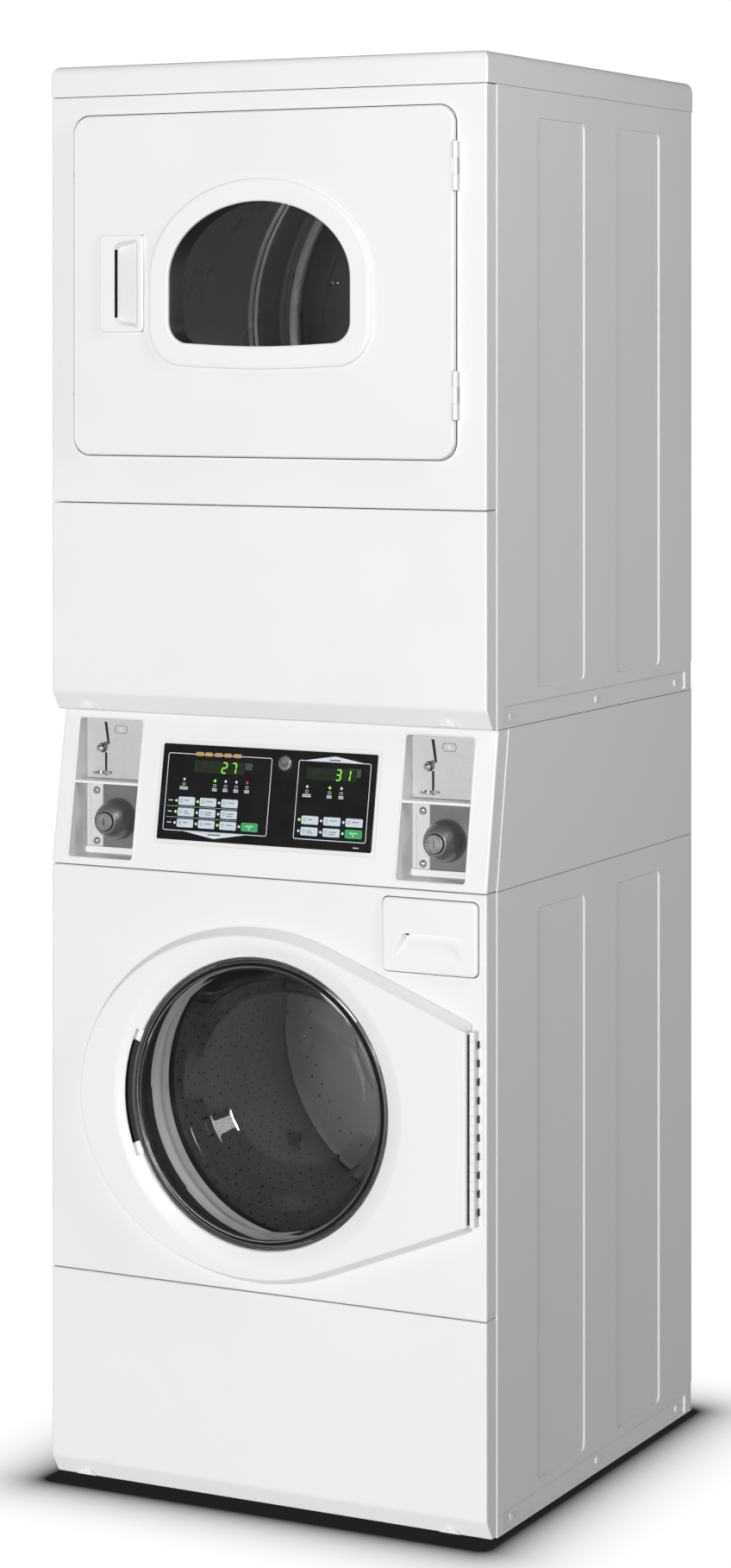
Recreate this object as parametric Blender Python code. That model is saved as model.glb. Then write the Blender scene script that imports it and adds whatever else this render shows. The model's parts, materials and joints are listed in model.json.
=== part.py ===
"""Coin-operated stacked washer and dryer: a front-loading washer, a sloped console and a dryer above.

Metres, +Z up, +X to the right and the front facing -Y. The floor is Z = 0 under the levelling feet,
and the origin is the bottom centre of the whole machine.
"""

import math

import bmesh
import bpy
from mathutils import Vector

# Overall size
WIDTH = 0.683
HALF = WIDTH / 2
HEIGHT = 1.991
FRONT = -0.3583  # plane of the flat front panels
CABINET_DEPTH = 0.7128
LID_DEPTH = 0.7166
SHEET = 0.0015
GAP = 0.0005
CORNER = 0.010  # rounding where the fronts turn into the sides
RETURN = 0.030  # how far the fronts wrap round the sides

# Heights of the seams
CABINET_BOTTOM = 0.0055
WASHER_PANEL_BOTTOM = 0.2993
WASHER_TOP = 0.8681
CONSOLE_TOP = 1.0841
DRYER_PANEL_BOTTOM = 1.3780
LID_BOTTOM = 1.9482

# Sloped console
CONSOLE_SETBACK = 0.037
TILT = math.atan2(CONSOLE_SETBACK, CONSOLE_TOP - WASHER_TOP)
FASCIA_SHEET = 0.0025
POCKET_BACK = 0.053
POCKET_Z = (0.8800, 1.0715)
POCKET_SHELF_Z = (0.9810, 0.9850)
POCKETS_X = {"left": (-0.3130, -0.2105), "right": (0.2040, 0.3065)}
VAULT_LOCK_X = {"left": -0.2585, "right": 0.2583}
VAULT_LOCK_Z = 0.930
COIN_BUTTON_FROM_POCKET = 0.0275
COIN_BUTTON_Z = 1.029
OVERLAY_U = (-0.172, 0.1635)
OVERLAY_S = (0.0444, 0.1770)
KEY_SIZE = (0.026, 0.011)
KEY_PITCH_U = 0.0341
KEY_ROWS_S = (0.0986, 0.0833, 0.0680)
WASHER_KEYS_U = -0.1284
DRYER_KEYS_U = 0.0671
KEY_TRAVEL = 0.0005
SERVICE_LOCK_AT = (0.0215, 0.1586)
SERVICE_LOCK_RADIUS = 0.0098

# Radius and height up a levelling foot
FOOT_PROFILE = [
    (0, 0), (0.020, 0), (0.020, 0.003), (0.009, 0.0054), (0.0048, 0.0054), (0.0048, 0.036), (0, 0.036),
]

# Washer
DRUM_Z = 0.5613
DRUM_RADIUS = 0.255
TUB_RADIUS = 0.280
DOOR_OPENING_RADIUS = 0.212
WASHER_DOOR_PROUD = 0.022
WASHER_WINDOW_RADIUS = 0.1993
WASHER_DOOR_ELLIPSE = (-0.0086, 0.5570, 0.2712, 0.2350)  # centre X and Z, half width and height
WASHER_HINGE = (0.3255, FRONT - 0.0125)
WASHER_HINGE_Z = (0.427, 0.687)
WASHER_HINGE_RADIUS = 0.0042
HINGE_KNUCKLES = 11
DRAWER_X = (0.1853, 0.3283)
DRAWER_Z = (0.7570, 0.8565)
MOTOR_Z = 0.150
BELT_Y = 0.621

# Dryer
DRYER_DRUM_Z = 1.636
DRYER_DRUM_RADIUS = 0.302
DRYER_DOOR_X = (-0.2980, 0.2955)
DRYER_DOOR_Z = (1.4460, 1.9193)
DRYER_DOOR_PROUD = 0.010
DRYER_HINGE = (0.2975, FRONT - 0.0085)
DRYER_HINGES_Z = {"upper": (1.805, 1.871), "lower": (1.499, 1.564)}
DRYER_HINGE_RADIUS = 0.0035
DRYER_MOUTH_X = 0.225
DRYER_MOUTH_Z = (1.515, 1.835)
WINDOW_X = 0.142
WINDOW_Z = (1.597, 1.796)
BEZEL_MARGIN = 0.032
HANDLE_X = (-0.255, -0.181)
HANDLE_Z = (1.617, 1.753)
HANDLE_POCKET_X = (-0.230, -0.190)
HANDLE_POCKET_Z = (1.623, 1.747)
FILTER_HALF = 0.130
FILTER_Y = (0.051, 0.063)
FILTER_Z = (1.345, 1.511)
BLOWER_AT = (-0.100, 1.210)
EXHAUST_AT = (0.020, 1.160)
EXHAUST_RADIUS = 0.051
DRYER_BELT_Y = 0.420

BIG, MEDIUM, SMALL = 40, 24, 16  # segments round a circle

# Colour, roughness, metallic, transmission
FINISHES = {
    "white_enamel": ((0.85, 0.85, 0.85), 0.35, 0.0, 0.0),
    "white_plastic": ((0.83, 0.83, 0.83), 0.45, 0.0, 0.0),
    "galvanised": ((0.55, 0.56, 0.57), 0.45, 0.9, 0.0),
    "stainless": ((0.60, 0.60, 0.61), 0.30, 1.0, 0.0),
    "chrome": ((0.80, 0.80, 0.81), 0.12, 1.0, 0.0),
    "black_overlay": ((0.012, 0.012, 0.013), 0.30, 0.0, 0.0),
    "pale_key": ((0.56, 0.66, 0.74), 0.40, 0.0, 0.0),
    "green_key": ((0.03, 0.38, 0.09), 0.40, 0.0, 0.0),
    "grey_plate": ((0.62, 0.62, 0.63), 0.40, 0.2, 0.0),
    "dark_vault": ((0.16, 0.16, 0.17), 0.40, 0.6, 0.0),
    "grey_rubber": ((0.42, 0.42, 0.43), 0.70, 0.0, 0.0),
    "black_rubber": ((0.02, 0.02, 0.02), 0.80, 0.0, 0.0),
    "glass": ((0.75, 0.78, 0.80), 0.03, 0.0, 0.9),
    "motor_grey": ((0.20, 0.20, 0.21), 0.50, 0.4, 0.0),
}


# Shapes -------------------------------------------------------------------------------------------


def material(name):
    found = bpy.data.materials.get(name)
    if found:
        return found
    colour, roughness, metallic, transmission = FINISHES[name]
    made = bpy.data.materials.new(name)
    made.use_nodes = True
    shader = made.node_tree.nodes["Principled BSDF"]
    shader.inputs["Base Color"].default_value = (*colour, 1.0)
    shader.inputs["Roughness"].default_value = roughness
    shader.inputs["Metallic"].default_value = metallic
    shader.inputs["Transmission Weight"].default_value = transmission
    return made


def add(name, bm, finish, origin=(0, 0, 0), parent=None):
    """An object whose mesh is bm, with its own origin at a point given in the parent's frame."""
    bmesh.ops.recalc_face_normals(bm, faces=bm.faces)
    bmesh.ops.translate(bm, vec=-Vector(origin), verts=bm.verts)
    mesh = bpy.data.meshes.new(name)
    bm.to_mesh(mesh)
    bm.free()
    mesh.shade_smooth()
    mesh.set_sharp_from_angle(angle=math.radians(30))
    mesh.materials.append(material(finish))
    obj = bpy.data.objects.new(name, mesh)
    obj.location = origin
    obj.parent = parent
    bpy.context.collection.objects.link(obj)
    return obj


def pivot(name, location, tilt=0.0):
    empty = bpy.data.objects.new(name, None)
    empty.location = location
    empty.rotation_euler.x = tilt
    bpy.context.collection.objects.link(empty)
    return empty


def hang(obj, empty):
    """Puts an object modelled in world coordinates on an empty that isn't turned."""
    obj.location = -Vector(empty.location)
    obj.parent = empty
    return obj


def bind(target, operation, tool):
    """Booleans a helper object with the target and hides the helper."""
    tool.hide_render = True
    tool.display_type = "WIRE"
    modifier = target.modifiers.new(operation.title(), "BOOLEAN")
    modifier.operation = operation
    modifier.solver = "EXACT"
    modifier.object = tool


def combine(target, operation, *shapes, parent=None):
    for shape in shapes:
        bind(target, operation, add(f"{target.name}_{operation.lower()}", shape, "galvanised", parent=parent))


def cut(target, *shapes, parent=None):
    combine(target, "DIFFERENCE", *shapes, parent=parent)


def join(target, *shapes, parent=None):
    combine(target, "UNION", *shapes, parent=parent)


def spread(across, along, axis):
    """A 3-D point from its two coordinates across an axis and its one along it."""
    first, second = across
    return {"X": (along, first, second), "Y": (first, along, second), "Z": (first, second, along)}[axis]


def loft(loops, capped=True):
    """A closed body through loops of points: its ends are capped, or its last loop is its first."""
    bm = bmesh.new()
    rings = [[bm.verts.new(point) for point in loop] for loop in (loops if capped else loops[:-1])]
    count = len(rings[0])
    if not capped:
        rings.append(rings[0])
    for lower, upper in zip(rings, rings[1:]):
        for i in range(count):
            j = (i + 1) % count
            bm.faces.new((lower[i], lower[j], upper[j], upper[i]))
    if capped:
        bm.faces.new(rings[0])
        bm.faces.new(rings[-1])
    return bm


def prism(outline, axis, start, end):
    return loft([[spread(point, along, axis) for point in outline] for along in (start, end)])


def block(x, y, z):
    return prism([(x[0], z[0]), (x[1], z[0]), (x[1], z[1]), (x[0], z[1])], "Y", *y)


def turned(profile, axis, centre, segments=BIG):
    """A body of revolution: (radius, along) points, either a closed loop or from the axis back to it.

    A profile from the axis has a flat first and last stretch, which become the two caps.
    """
    solid = profile[0][0] == 0
    stations = profile[1:-1] if solid else profile + profile[:1]
    angles = [2 * math.pi * i / segments for i in range(segments)]
    loops = []
    for radius, along in stations:
        circle = [(centre[0] + radius * math.cos(a), centre[1] + radius * math.sin(a)) for a in angles]
        loops.append([spread(point, along, axis) for point in circle])
    return loft(loops, capped=solid)


def rod(axis, centre, radius, start, end, segments=SMALL):
    return turned([(0, start), (radius, start), (radius, end), (0, end)], axis, centre, segments)


def arc(centre, radius, start, end, steps):
    """Points on an arc, angles in degrees."""
    angles = [math.radians(start + (end - start) * i / steps) for i in range(steps + 1)]
    return [(centre[0] + radius * math.cos(a), centre[1] + radius * math.sin(a)) for a in angles]


def rounded(low, high, radius, steps=4):
    """A rectangle with round corners, from its lowest and highest corner."""
    (x0, z0), (x1, z1) = low, high
    r = radius
    return (
        arc((x1 - r, z1 - r), r, 0, 90, steps)
        + arc((x0 + r, z1 - r), r, 90, 180, steps)
        + arc((x0 + r, z0 + r), r, 180, 270, steps)
        + arc((x1 - r, z0 + r), r, 270, 360, steps)
    )


def slanted_rod(start, end, radius, segments=12):
    start, end = Vector(start), Vector(end)
    along = (end - start).normalized()
    side = along.orthogonal().normalized()
    other = along.cross(side)
    angles = [2 * math.pi * i / segments for i in range(segments)]
    offsets = [radius * (math.cos(a) * side + math.sin(a) * other) for a in angles]
    return loft([[point + offset for offset in offsets] for point in (start, end)])


def belt(name, axis_y, big, small, width, parent=None):
    """A flat belt round two wheels, each given as (x, z, radius), with a clearance inside it."""
    thickness, clearance = 0.0025, 0.0012
    dx, dz = small[0] - big[0], small[1] - big[1]
    distance = math.hypot(dx, dz)
    heading = math.degrees(math.atan2(dz, dx))
    wrap = math.degrees(math.acos((big[2] - small[2]) / distance))
    y = (axis_y - width / 2, axis_y + width / 2)

    def loop(extra):
        return arc(big[:2], big[2] + extra, heading + wrap, heading + 360 - wrap, 30) + arc(
            small[:2], small[2] + extra, heading - wrap, heading + wrap, 10
        )

    made = add(name, prism(loop(clearance + thickness), "Y", *y), "black_rubber", parent=parent)
    cut(made, prism(loop(clearance), "Y", y[0] - 0.01, y[1] + 0.01))
    return made


# Casings ------------------------------------------------------------------------------------------


def front_y(depth):
    return FRONT + depth


def front_outline(inset, depth):
    """Plan of a front that wraps round the sides, with its two front corners rounded."""
    side = HALF - inset
    radius = CORNER - inset
    front = front_y(inset)
    return (
        [(side, front_y(depth))]
        + arc((side - radius, front + radius), radius, 0, -90, 5)
        + arc((-side + radius, front + radius), radius, -90, -180, 5)
        + [(-side, front_y(depth))]
    )


def front_pan(name, z0, z1):
    """A sheet-metal front: a shallow pan, open at the back."""
    pan = add(name, prism(front_outline(0, RETURN), "Z", z0, z1), "white_enamel")
    cut(pan, prism(front_outline(SHEET, RETURN + 0.01), "Z", z0 + SHEET, z1 - SHEET))
    return pan


def lower_panel(name, z0, z1):
    """The removable service panel, whose bottom edge is chamfered back."""
    chamfer_height, chamfer_depth = 0.027, 0.018

    def toe(inset):
        run = 0.02
        rise = run * chamfer_height / chamfer_depth
        low, depth = z0 + inset, inset + chamfer_depth
        return [
            (front_y(inset) - run, low + chamfer_height + rise),
            (front_y(depth) + run, low - rise),
            (front_y(depth) - run, low - rise - 0.01),
            (front_y(inset) - 3 * run, low + chamfer_height),
        ]

    pan = add(name, prism(front_outline(0, RETURN), "Z", z0, z1), "white_enamel")
    cut(pan, prism(toe(0), "X", -0.5, 0.5))
    inside = prism(front_outline(SHEET, RETURN + 0.01), "Z", z0 + SHEET, z1 - SHEET)
    hollow = add(name + "_hollow", inside, "galvanised")
    cut(hollow, prism(toe(SHEET), "X", -0.5, 0.5))
    bind(pan, "DIFFERENCE", hollow)
    return pan


def wraparound(name, z0, z1, front=RETURN + 0.001):
    """Two sides and a back, bent from one sheet."""
    front, back = front_y(front), front_y(CABINET_DEPTH)
    inner = HALF - SHEET
    outline = [
        (-HALF, front), (-HALF, back), (HALF, back), (HALF, front),
        (inner, front), (inner, back - SHEET), (-inner, back - SHEET), (-inner, front),
    ]
    return add(name, prism(outline, "Z", z0, z1), "white_enamel")


def emboss_sides(cabinet, ribs_z, strip_z):
    """Two tall shallow panels and a low strip pressed into each side."""
    depth = SHEET / 2
    for side in (-1, 1):
        x = sorted((side * (HALF - depth), side * (HALF + 0.01)))
        for y in ((0.1565, 0.3165), (0.428, 0.586)):
            cut(cabinet, block(x, [front_y(v) for v in y], ribs_z))
        cut(cabinet, block(x, (front_y(0.050), front_y(0.684)), strip_z))


def build_casings():
    washer = wraparound("washer_cabinet", CABINET_BOTTOM, WASHER_TOP - GAP)
    emboss_sides(washer, (0.049, 0.829), (0.009, 0.0335))
    cut(washer, rod("Y", (0.26, 0.80), 0.012, front_y(0.68), front_y(0.74)))

    dryer = wraparound("dryer_cabinet", CONSOLE_TOP + GAP, LID_BOTTOM - GAP)
    emboss_sides(dryer, (1.131, 1.909), (1.0875, 1.113))
    inner = HALF - SHEET / 2
    floor_y = (front_y(RETURN + 0.002), front_y(CABINET_DEPTH - 0.0005))
    bearing = [(0.0135, 0.690), (0.035, 0.690), (0.035, 0.712), (0.0135, 0.712)]
    join(
        dryer,
        block((-inner, inner), floor_y, (CONSOLE_TOP + 0.0012, CONSOLE_TOP + 0.0027)),
        turned(along_y(bearing), "Y", (0, DRYER_DRUM_Z), MEDIUM),
    )
    cut(dryer, rod("Y", EXHAUST_AT, EXHAUST_RADIUS + 0.0015, front_y(0.68), front_y(0.74), MEDIUM))
    cut(dryer, rod("Y", (0.26, 1.87), 0.012, front_y(0.68), front_y(0.74)))

    console = wraparound("console_cabinet", WASHER_TOP + GAP, CONSOLE_TOP - GAP)
    slope = [
        (FRONT - 0.1, WASHER_TOP - 0.01),
        (front_y(RETURN + 0.001) - 0.01 * math.tan(TILT), WASHER_TOP - 0.01),
        (front_y(RETURN + 0.001 + CONSOLE_SETBACK) + 0.01 * math.tan(TILT), CONSOLE_TOP + 0.01),
        (FRONT - 0.1, CONSOLE_TOP + 0.01),
    ]
    cut(console, prism(slope, "X", -0.5, 0.5))

    lid = add("top_lid", lid_shape(0), "white_enamel")
    cut(lid, lid_shape(SHEET))


def lid_shape(inset):
    """A shallow tray turned over: round vertical corners and a softened top edge."""
    soft = 0.005
    low, high = (-HALF + inset, FRONT + inset), (HALF - inset, front_y(LID_DEPTH) - inset)
    radius = CORNER - inset

    def ring(shrink, z):
        first = (low[0] + shrink, low[1] + shrink)
        last = (high[0] - shrink, high[1] - shrink)
        return [(x, y, z) for x, y in rounded(first, last, radius - shrink)]

    top = HEIGHT - inset
    bottom = LID_BOTTOM - (0.01 if inset else 0)
    return loft([ring(0, bottom), ring(0, top - soft), ring(soft * 0.3, top - soft * 0.3), ring(soft, top)])


def build_base():
    inner = HALF - SHEET - 0.001
    y = (front_y(0.034), front_y(CABINET_DEPTH - SHEET - 0.001))
    base = add("washer_base", block((-inner, inner), y, (0.0062, 0.050)), "galvanised")
    wall = 0.002
    cut(base, block((-inner + wall, inner - wall), (y[0] + wall, y[1] - wall), (0.0082, 0.060)))
    for side, x in (("left", -0.300), ("right", 0.300)):
        for end, foot_y in (("front", front_y(0.075)), ("rear", front_y(0.665))):
            at = (x, foot_y)
            cut(base, rod("Z", at, 0.0054, 0.0, 0.02, 12))
            foot = turned(FOOT_PROFILE, "Z", at, 12)
            add(f"levelling_foot_{end}_{side}", foot, "galvanised", (x, foot_y, 0))


# Console ------------------------------------------------------------------------------------------


def fascia_profile(inset):
    """Side view of the fascia: the sloped face and a return that follows it."""
    low, high = WASHER_TOP + GAP, CONSOLE_TOP - GAP
    back = RETURN + (0.01 if inset else 0)
    rise = inset
    return [
        (front_y(inset + rise * math.tan(TILT)), low + rise),
        (front_y(back), low + rise),
        (front_y(back + CONSOLE_SETBACK), high - rise),
        (front_y(inset + CONSOLE_SETBACK - rise * math.tan(TILT)), high - rise),
    ]


def build_console():
    fascia = add("console_fascia", prism(fascia_profile(0), "X", -HALF, HALF), "white_enamel")
    soften = fascia.modifiers.new("Round sides", "BEVEL")
    soften.width = CORNER * 0.8
    soften.segments = 4
    soften.limit_method = "WEIGHT"
    mark_front_edges(fascia)
    cut(fascia, prism(fascia_profile(FASCIA_SHEET), "X", -HALF + FASCIA_SHEET, HALF - FASCIA_SHEET))
    wall = 0.002
    for side, (x0, x1) in POCKETS_X.items():
        join(fascia, pocket_walls(x0, x1, wall))
        for z in ((POCKET_Z[0], POCKET_SHELF_Z[0]), (POCKET_SHELF_Z[1], POCKET_Z[1])):
            cut(fascia, block((x0, x1), (FRONT - 0.02, front_y(POCKET_BACK)), z))
        build_coin_drop(fascia, side, x0, x1)
        build_coin_vault(fascia, side, x0, x1)
    build_controls(fascia)


def mark_front_edges(fascia):
    """Gives bevel weight to the two sloped edges between the face and the sides."""
    mesh = fascia.data
    weight = mesh.attributes.new("bevel_weight_edge", "FLOAT", "EDGE")
    front = [v.index for v in mesh.vertices if v.co.y < front_y((v.co.z - WASHER_TOP) * math.tan(TILT) + 0.002)]
    for edge in mesh.edges:
        a, b = (mesh.vertices[i] for i in edge.vertices)
        if a.index in front and b.index in front and abs(a.co.x - b.co.x) < 0.001:
            weight.data[edge.index].value = 1.0


def pocket_walls(x0, x1, wall):
    """The box behind a coin pocket; its front end stays inside the sloped sheet."""
    z0, z1 = POCKET_Z[0] - wall, POCKET_Z[1] + wall
    half_sheet = FASCIA_SHEET / 2
    outline = [
        (front_y(half_sheet + (z0 - WASHER_TOP) * math.tan(TILT)), z0),
        (front_y(POCKET_BACK + wall), z0),
        (front_y(POCKET_BACK + wall), z1),
        (front_y(half_sheet + (z1 - WASHER_TOP) * math.tan(TILT)), z1),
    ]
    return prism(outline, "X", x0 - wall, x1 + wall)


def build_coin_drop(fascia, side, x0, x1):
    """The plate above the shelf with its two slots, its ring and the coin return button."""
    front, back = front_y(POCKET_BACK - 0.0028), front_y(POCKET_BACK - 0.0003)
    plate = block((x0 + GAP, x1 - GAP), (front, back), (POCKET_SHELF_Z[1] + GAP, POCKET_Z[1] - GAP))
    drop = add(f"coin_drop_{side}", plate, "grey_plate")
    button_x = x0 + COIN_BUTTON_FROM_POCKET
    ring = [(0.0082, 0.9930), (0.0110, 0.9930), (0.0110, 0.9962), (0.0082, 0.9962)]
    join(drop, turned(ring, "Z", (button_x + 0.002, front - 0.0095), SMALL))
    through = (front - 0.0001, back + 0.01)
    slot_x = button_x + 0.0068
    slanted = [(-0.0036, 1.0652), (-0.0004, 1.0652), (0.0034, 1.0345), (0.0002, 1.0345)]
    cut(
        drop,
        prism([(slot_x + dx, z) for dx, z in slanted], "Y", *through),
        block((button_x + 0.0032, button_x + 0.0058), through, (0.9900, 1.0215)),
        rod("Y", (button_x, COIN_BUTTON_Z), 0.0038, *through, 12),
    )
    pocket_back = (front_y(POCKET_BACK - 0.01), front_y(POCKET_BACK + 0.01))
    cut(fascia, rod("Y", (button_x, COIN_BUTTON_Z), 0.0045, *pocket_back, 12))

    face, head = front_y(0.0385), front_y(0.0462)
    stem = front_y(POCKET_BACK - 0.0008)
    profile = [
        (0, face), (0.0040, face), (0.0056, face + 0.0015), (0.0056, head), (0.0030, head), (0.0030, stem),
        (0, stem),
    ]
    button = turned(profile, "Y", (button_x, COIN_BUTTON_Z), 12)
    add(f"coin_return_button_{side}", button, "chrome", (button_x, face, COIN_BUTTON_Z))


def build_coin_vault(fascia, side, x0, x1):
    """The coin drawer below the shelf, with a domed guard round its lock."""
    strip = 0.028  # left of the vault, where the vault's bracket is screwed
    clear = 0.0006
    wall = 0.002
    vault_x = (x0 + strip, x1 - 0.0010)
    vault_z = (0.8890, POCKET_SHELF_Z[0] - 0.0010)
    pocket_back = (front_y(POCKET_BACK - 0.01), front_y(POCKET_BACK + 0.01))
    opening_z = (vault_z[0] - clear, POCKET_SHELF_Z[0])
    cut(fascia, block((vault_x[0] - clear, x1 + 0.0001), pocket_back, opening_z))
    front, back = front_y(POCKET_BACK - 0.0045), front_y(0.255)
    lock_x = VAULT_LOCK_X[side]
    lock_at = (lock_x, VAULT_LOCK_Z)
    body = block(vault_x, (front, back), vault_z)
    vault = add(f"coin_vault_{side}", body, "dark_vault", (lock_x, front, VAULT_LOCK_Z))
    inside_x = (vault_x[0] + wall, vault_x[1] - wall)
    cut(vault, block(inside_x, (front + 0.004, back - wall), (vault_z[0] + wall, vault_z[1] + 0.01)))
    dome = [
        (0, front + 0.002), (0.0275, front + 0.002), (0.0275, front - 0.006), (0.0205, front - 0.015),
        (0.0150, front - 0.022), (0.0150, front - 0.038), (0.0132, front - 0.038), (0.0132, front - 0.012),
        (0, front - 0.012),
    ]
    join(vault, turned(dome, "Y", lock_at, MEDIUM))
    plug = (front - 0.0415, front - 0.0125)
    cylinder = rod("Y", lock_at, 0.0126, *plug, MEDIUM)
    lock = add(f"vault_lock_{side}", cylinder, "stainless", (lock_x, plug[0], VAULT_LOCK_Z))
    keyhole_z = (VAULT_LOCK_Z - 0.005, VAULT_LOCK_Z + 0.005)
    cut(lock, block((lock_x - 0.001, lock_x + 0.001), (plug[0] - 0.01, plug[0] + 0.005), keyhole_z))


def key_places():
    """Name, finish and place on the console face of each key."""
    start_washer = ("washer_start_key", "green_key", WASHER_KEYS_U + 3 * KEY_PITCH_U, KEY_ROWS_S[2])
    start_dryer = ("dryer_start_key", "green_key", DRYER_KEYS_U + 2 * KEY_PITCH_U, KEY_ROWS_S[2])
    places = [start_washer, start_dryer]
    for machine, first_u, rows in (("washer", WASHER_KEYS_U, (3, 3, 3)), ("dryer", DRYER_KEYS_U, (3, 2))):
        heights = KEY_ROWS_S[-len(rows):]
        for row, (columns, s) in enumerate(zip(rows, heights), 1):
            for column in range(columns):
                name = f"{machine}_key_{row}_{column + 1}"
                places.append((name, "pale_key", first_u + column * KEY_PITCH_U, s))
    return places


def build_controls(fascia):
    """Overlay, keys and service lock, modelled flat on the sloped face and tilted back with it."""
    face = pivot("console_face", (0, FRONT, WASHER_TOP), -TILT)
    sheet = prism(rounded(*zip(OVERLAY_U, OVERLAY_S), 0.002, 2), "Y", -0.0018, -0.0004)
    overlay = add("control_overlay", sheet, "black_overlay", parent=face)
    clear = 0.0005
    half_u, half_s = KEY_SIZE[0] / 2, KEY_SIZE[1] / 2
    for name, finish, u, s in key_places():
        low, high = (u - half_u, s - half_s), (u + half_u, s + half_s)
        key = prism(rounded(low, high, 0.0015, 1), "Y", -0.0026, -0.0010)
        add(name, key, finish, (u, -0.0026, s), face)
        hole = block((low[0] - clear, high[0] + clear), (-0.01, 0.01), (low[1] - clear, high[1] + clear))
        cut(overlay, hole, parent=face)
    hole_radius = SERVICE_LOCK_RADIUS + 0.0006
    cut(overlay, rod("Y", SERVICE_LOCK_AT, hole_radius, -0.01, 0.01, MEDIUM), parent=face)
    cut(fascia, rod("Y", SERVICE_LOCK_AT, hole_radius, -0.01, 0.01, MEDIUM), parent=face)
    u, s = SERVICE_LOCK_AT
    cylinder = rod("Y", SERVICE_LOCK_AT, SERVICE_LOCK_RADIUS, -0.0040, 0.0140, MEDIUM)
    lock = add("service_lock", cylinder, "stainless", (u, -0.0040, s), face)
    cut(lock, block((u - 0.0009, u + 0.0009), (-0.01, -0.0010), (s - 0.0042, s + 0.0042)), parent=face)


# Washer -------------------------------------------------------------------------------------------


def along_y(profile):
    """Depths behind the front plane turned into Y."""
    return [(radius, front_y(depth)) for radius, depth in profile]


def fin(angle, outer, inner, half_outer, half_inner, centre_z):
    """Cross-section of a lifter inside a drum: a tapered bar pointing at the drum's axis."""
    a = math.radians(angle)
    radial, tangent = Vector((math.cos(a), math.sin(a))), Vector((-math.sin(a), math.cos(a)))
    corners = ((outer, -half_outer), (outer, half_outer), (inner, half_inner), (inner, -half_inner))
    points = [radial * r + tangent * t for r, t in corners]
    return [(p.x, p.y + centre_z) for p in points]


def build_washer_front():
    panel = front_pan("washer_front_panel", WASHER_PANEL_BOTTOM + GAP, WASHER_TOP - GAP)
    cut(panel, rod("Y", (0, DRUM_Z), DOOR_OPENING_RADIUS, FRONT - 0.01, front_y(0.01), BIG))
    clear = 0.0012
    x = (DRAWER_X[0] - clear, DRAWER_X[1] + clear)
    cut(panel, block(x, (FRONT - 0.01, front_y(0.01)), (DRAWER_Z[0] - clear, DRAWER_Z[1] + clear)))
    lower_panel("washer_lower_panel", CABINET_BOTTOM + GAP, WASHER_PANEL_BOTTOM - GAP)


def build_washer_inside():
    centre = (0, DRUM_Z)
    t = 0.0015
    drum = [
        (0, 0.640), (0.0195, 0.640), (0.0195, 0.627), (0.140, 0.627), (0.140, 0.615), (0.0195, 0.615),
        (0.0195, 0.532), (DRUM_RADIUS, 0.532), (DRUM_RADIUS, 0.115), (0.2125, 0.115), (0.2125, 0.115 + t),
        (DRUM_RADIUS - t, 0.115 + t), (DRUM_RADIUS - t, 0.532 - t), (0, 0.532 - t),
    ]
    shell = turned(along_y(drum), "Y", centre)
    washer_drum = add("washer_drum", shell, "stainless", (0, front_y(0.115), DRUM_Z))
    for angle in (30, 150, 270):
        shape = fin(angle, DRUM_RADIUS - 0.0012, DRUM_RADIUS - 0.048, 0.022, 0.008, DRUM_Z)
        join(washer_drum, prism(shape, "Y", front_y(0.150), front_y(0.500)))

    wall = 0.003
    tub = [
        (0.0210, 0.600), (0.045, 0.600), (0.045, 0.578), (TUB_RADIUS, 0.578), (TUB_RADIUS, 0.098),
        (0.2135, 0.098), (0.2135, 0.101), (TUB_RADIUS - wall, 0.101), (TUB_RADIUS - wall, 0.575), (0.0210, 0.575),
    ]
    washer_tub = add("washer_tub", turned(along_y(tub), "Y", centre), "stainless")
    lean = math.radians(25)
    foot_reach = (DRUM_Z - 0.018) / math.cos(lean)
    for side in (-1, 1):
        for y in (front_y(0.190), front_y(0.480)):
            ends = [
                (side * reach * math.sin(lean), y, DRUM_Z - reach * math.cos(lean))
                for reach in (TUB_RADIUS - wall / 2, foot_reach)
            ]
            join(washer_tub, slanted_rod(*ends, 0.011))

    gasket = [
        (0.2060, 0.0022), (0.2205, 0.0022), (0.2205, 0.0050), (0.2105, 0.0050), (0.2105, 0.035), (0.2165, 0.045),
        (0.2105, 0.055), (0.2105, 0.0970), (0.2065, 0.0970), (0.2065, 0.056), (0.2125, 0.045), (0.2065, 0.034),
    ]
    add("door_gasket", turned(along_y(gasket), "Y", centre), "grey_rubber")

    at = (0, MOTOR_Z)
    motor = [
        (0, 0.430), (0.060, 0.430), (0.060, 0.572), (0.030, 0.585), (0.0085, 0.585), (0.0085, 0.550), (0, 0.550),
    ]
    washer_motor = add("washer_motor", turned(along_y(motor), "Y", at, MEDIUM), "motor_grey")
    join(washer_motor, block((-0.045, 0.045), (front_y(0.460), front_y(0.545)), (0.012, 0.125)))
    pulley = [(0, 0.552), (0.007, 0.552), (0.007, 0.612), (0.022, 0.612), (0.022, 0.630), (0, 0.630)]
    add("motor_pulley", turned(along_y(pulley), "Y", at, MEDIUM), "galvanised", (0, front_y(0.612), MOTOR_Z))
    belt("washer_belt", front_y(BELT_Y), (0, DRUM_Z, 0.140), (0, MOTOR_Z, 0.022), 0.009)


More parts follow.
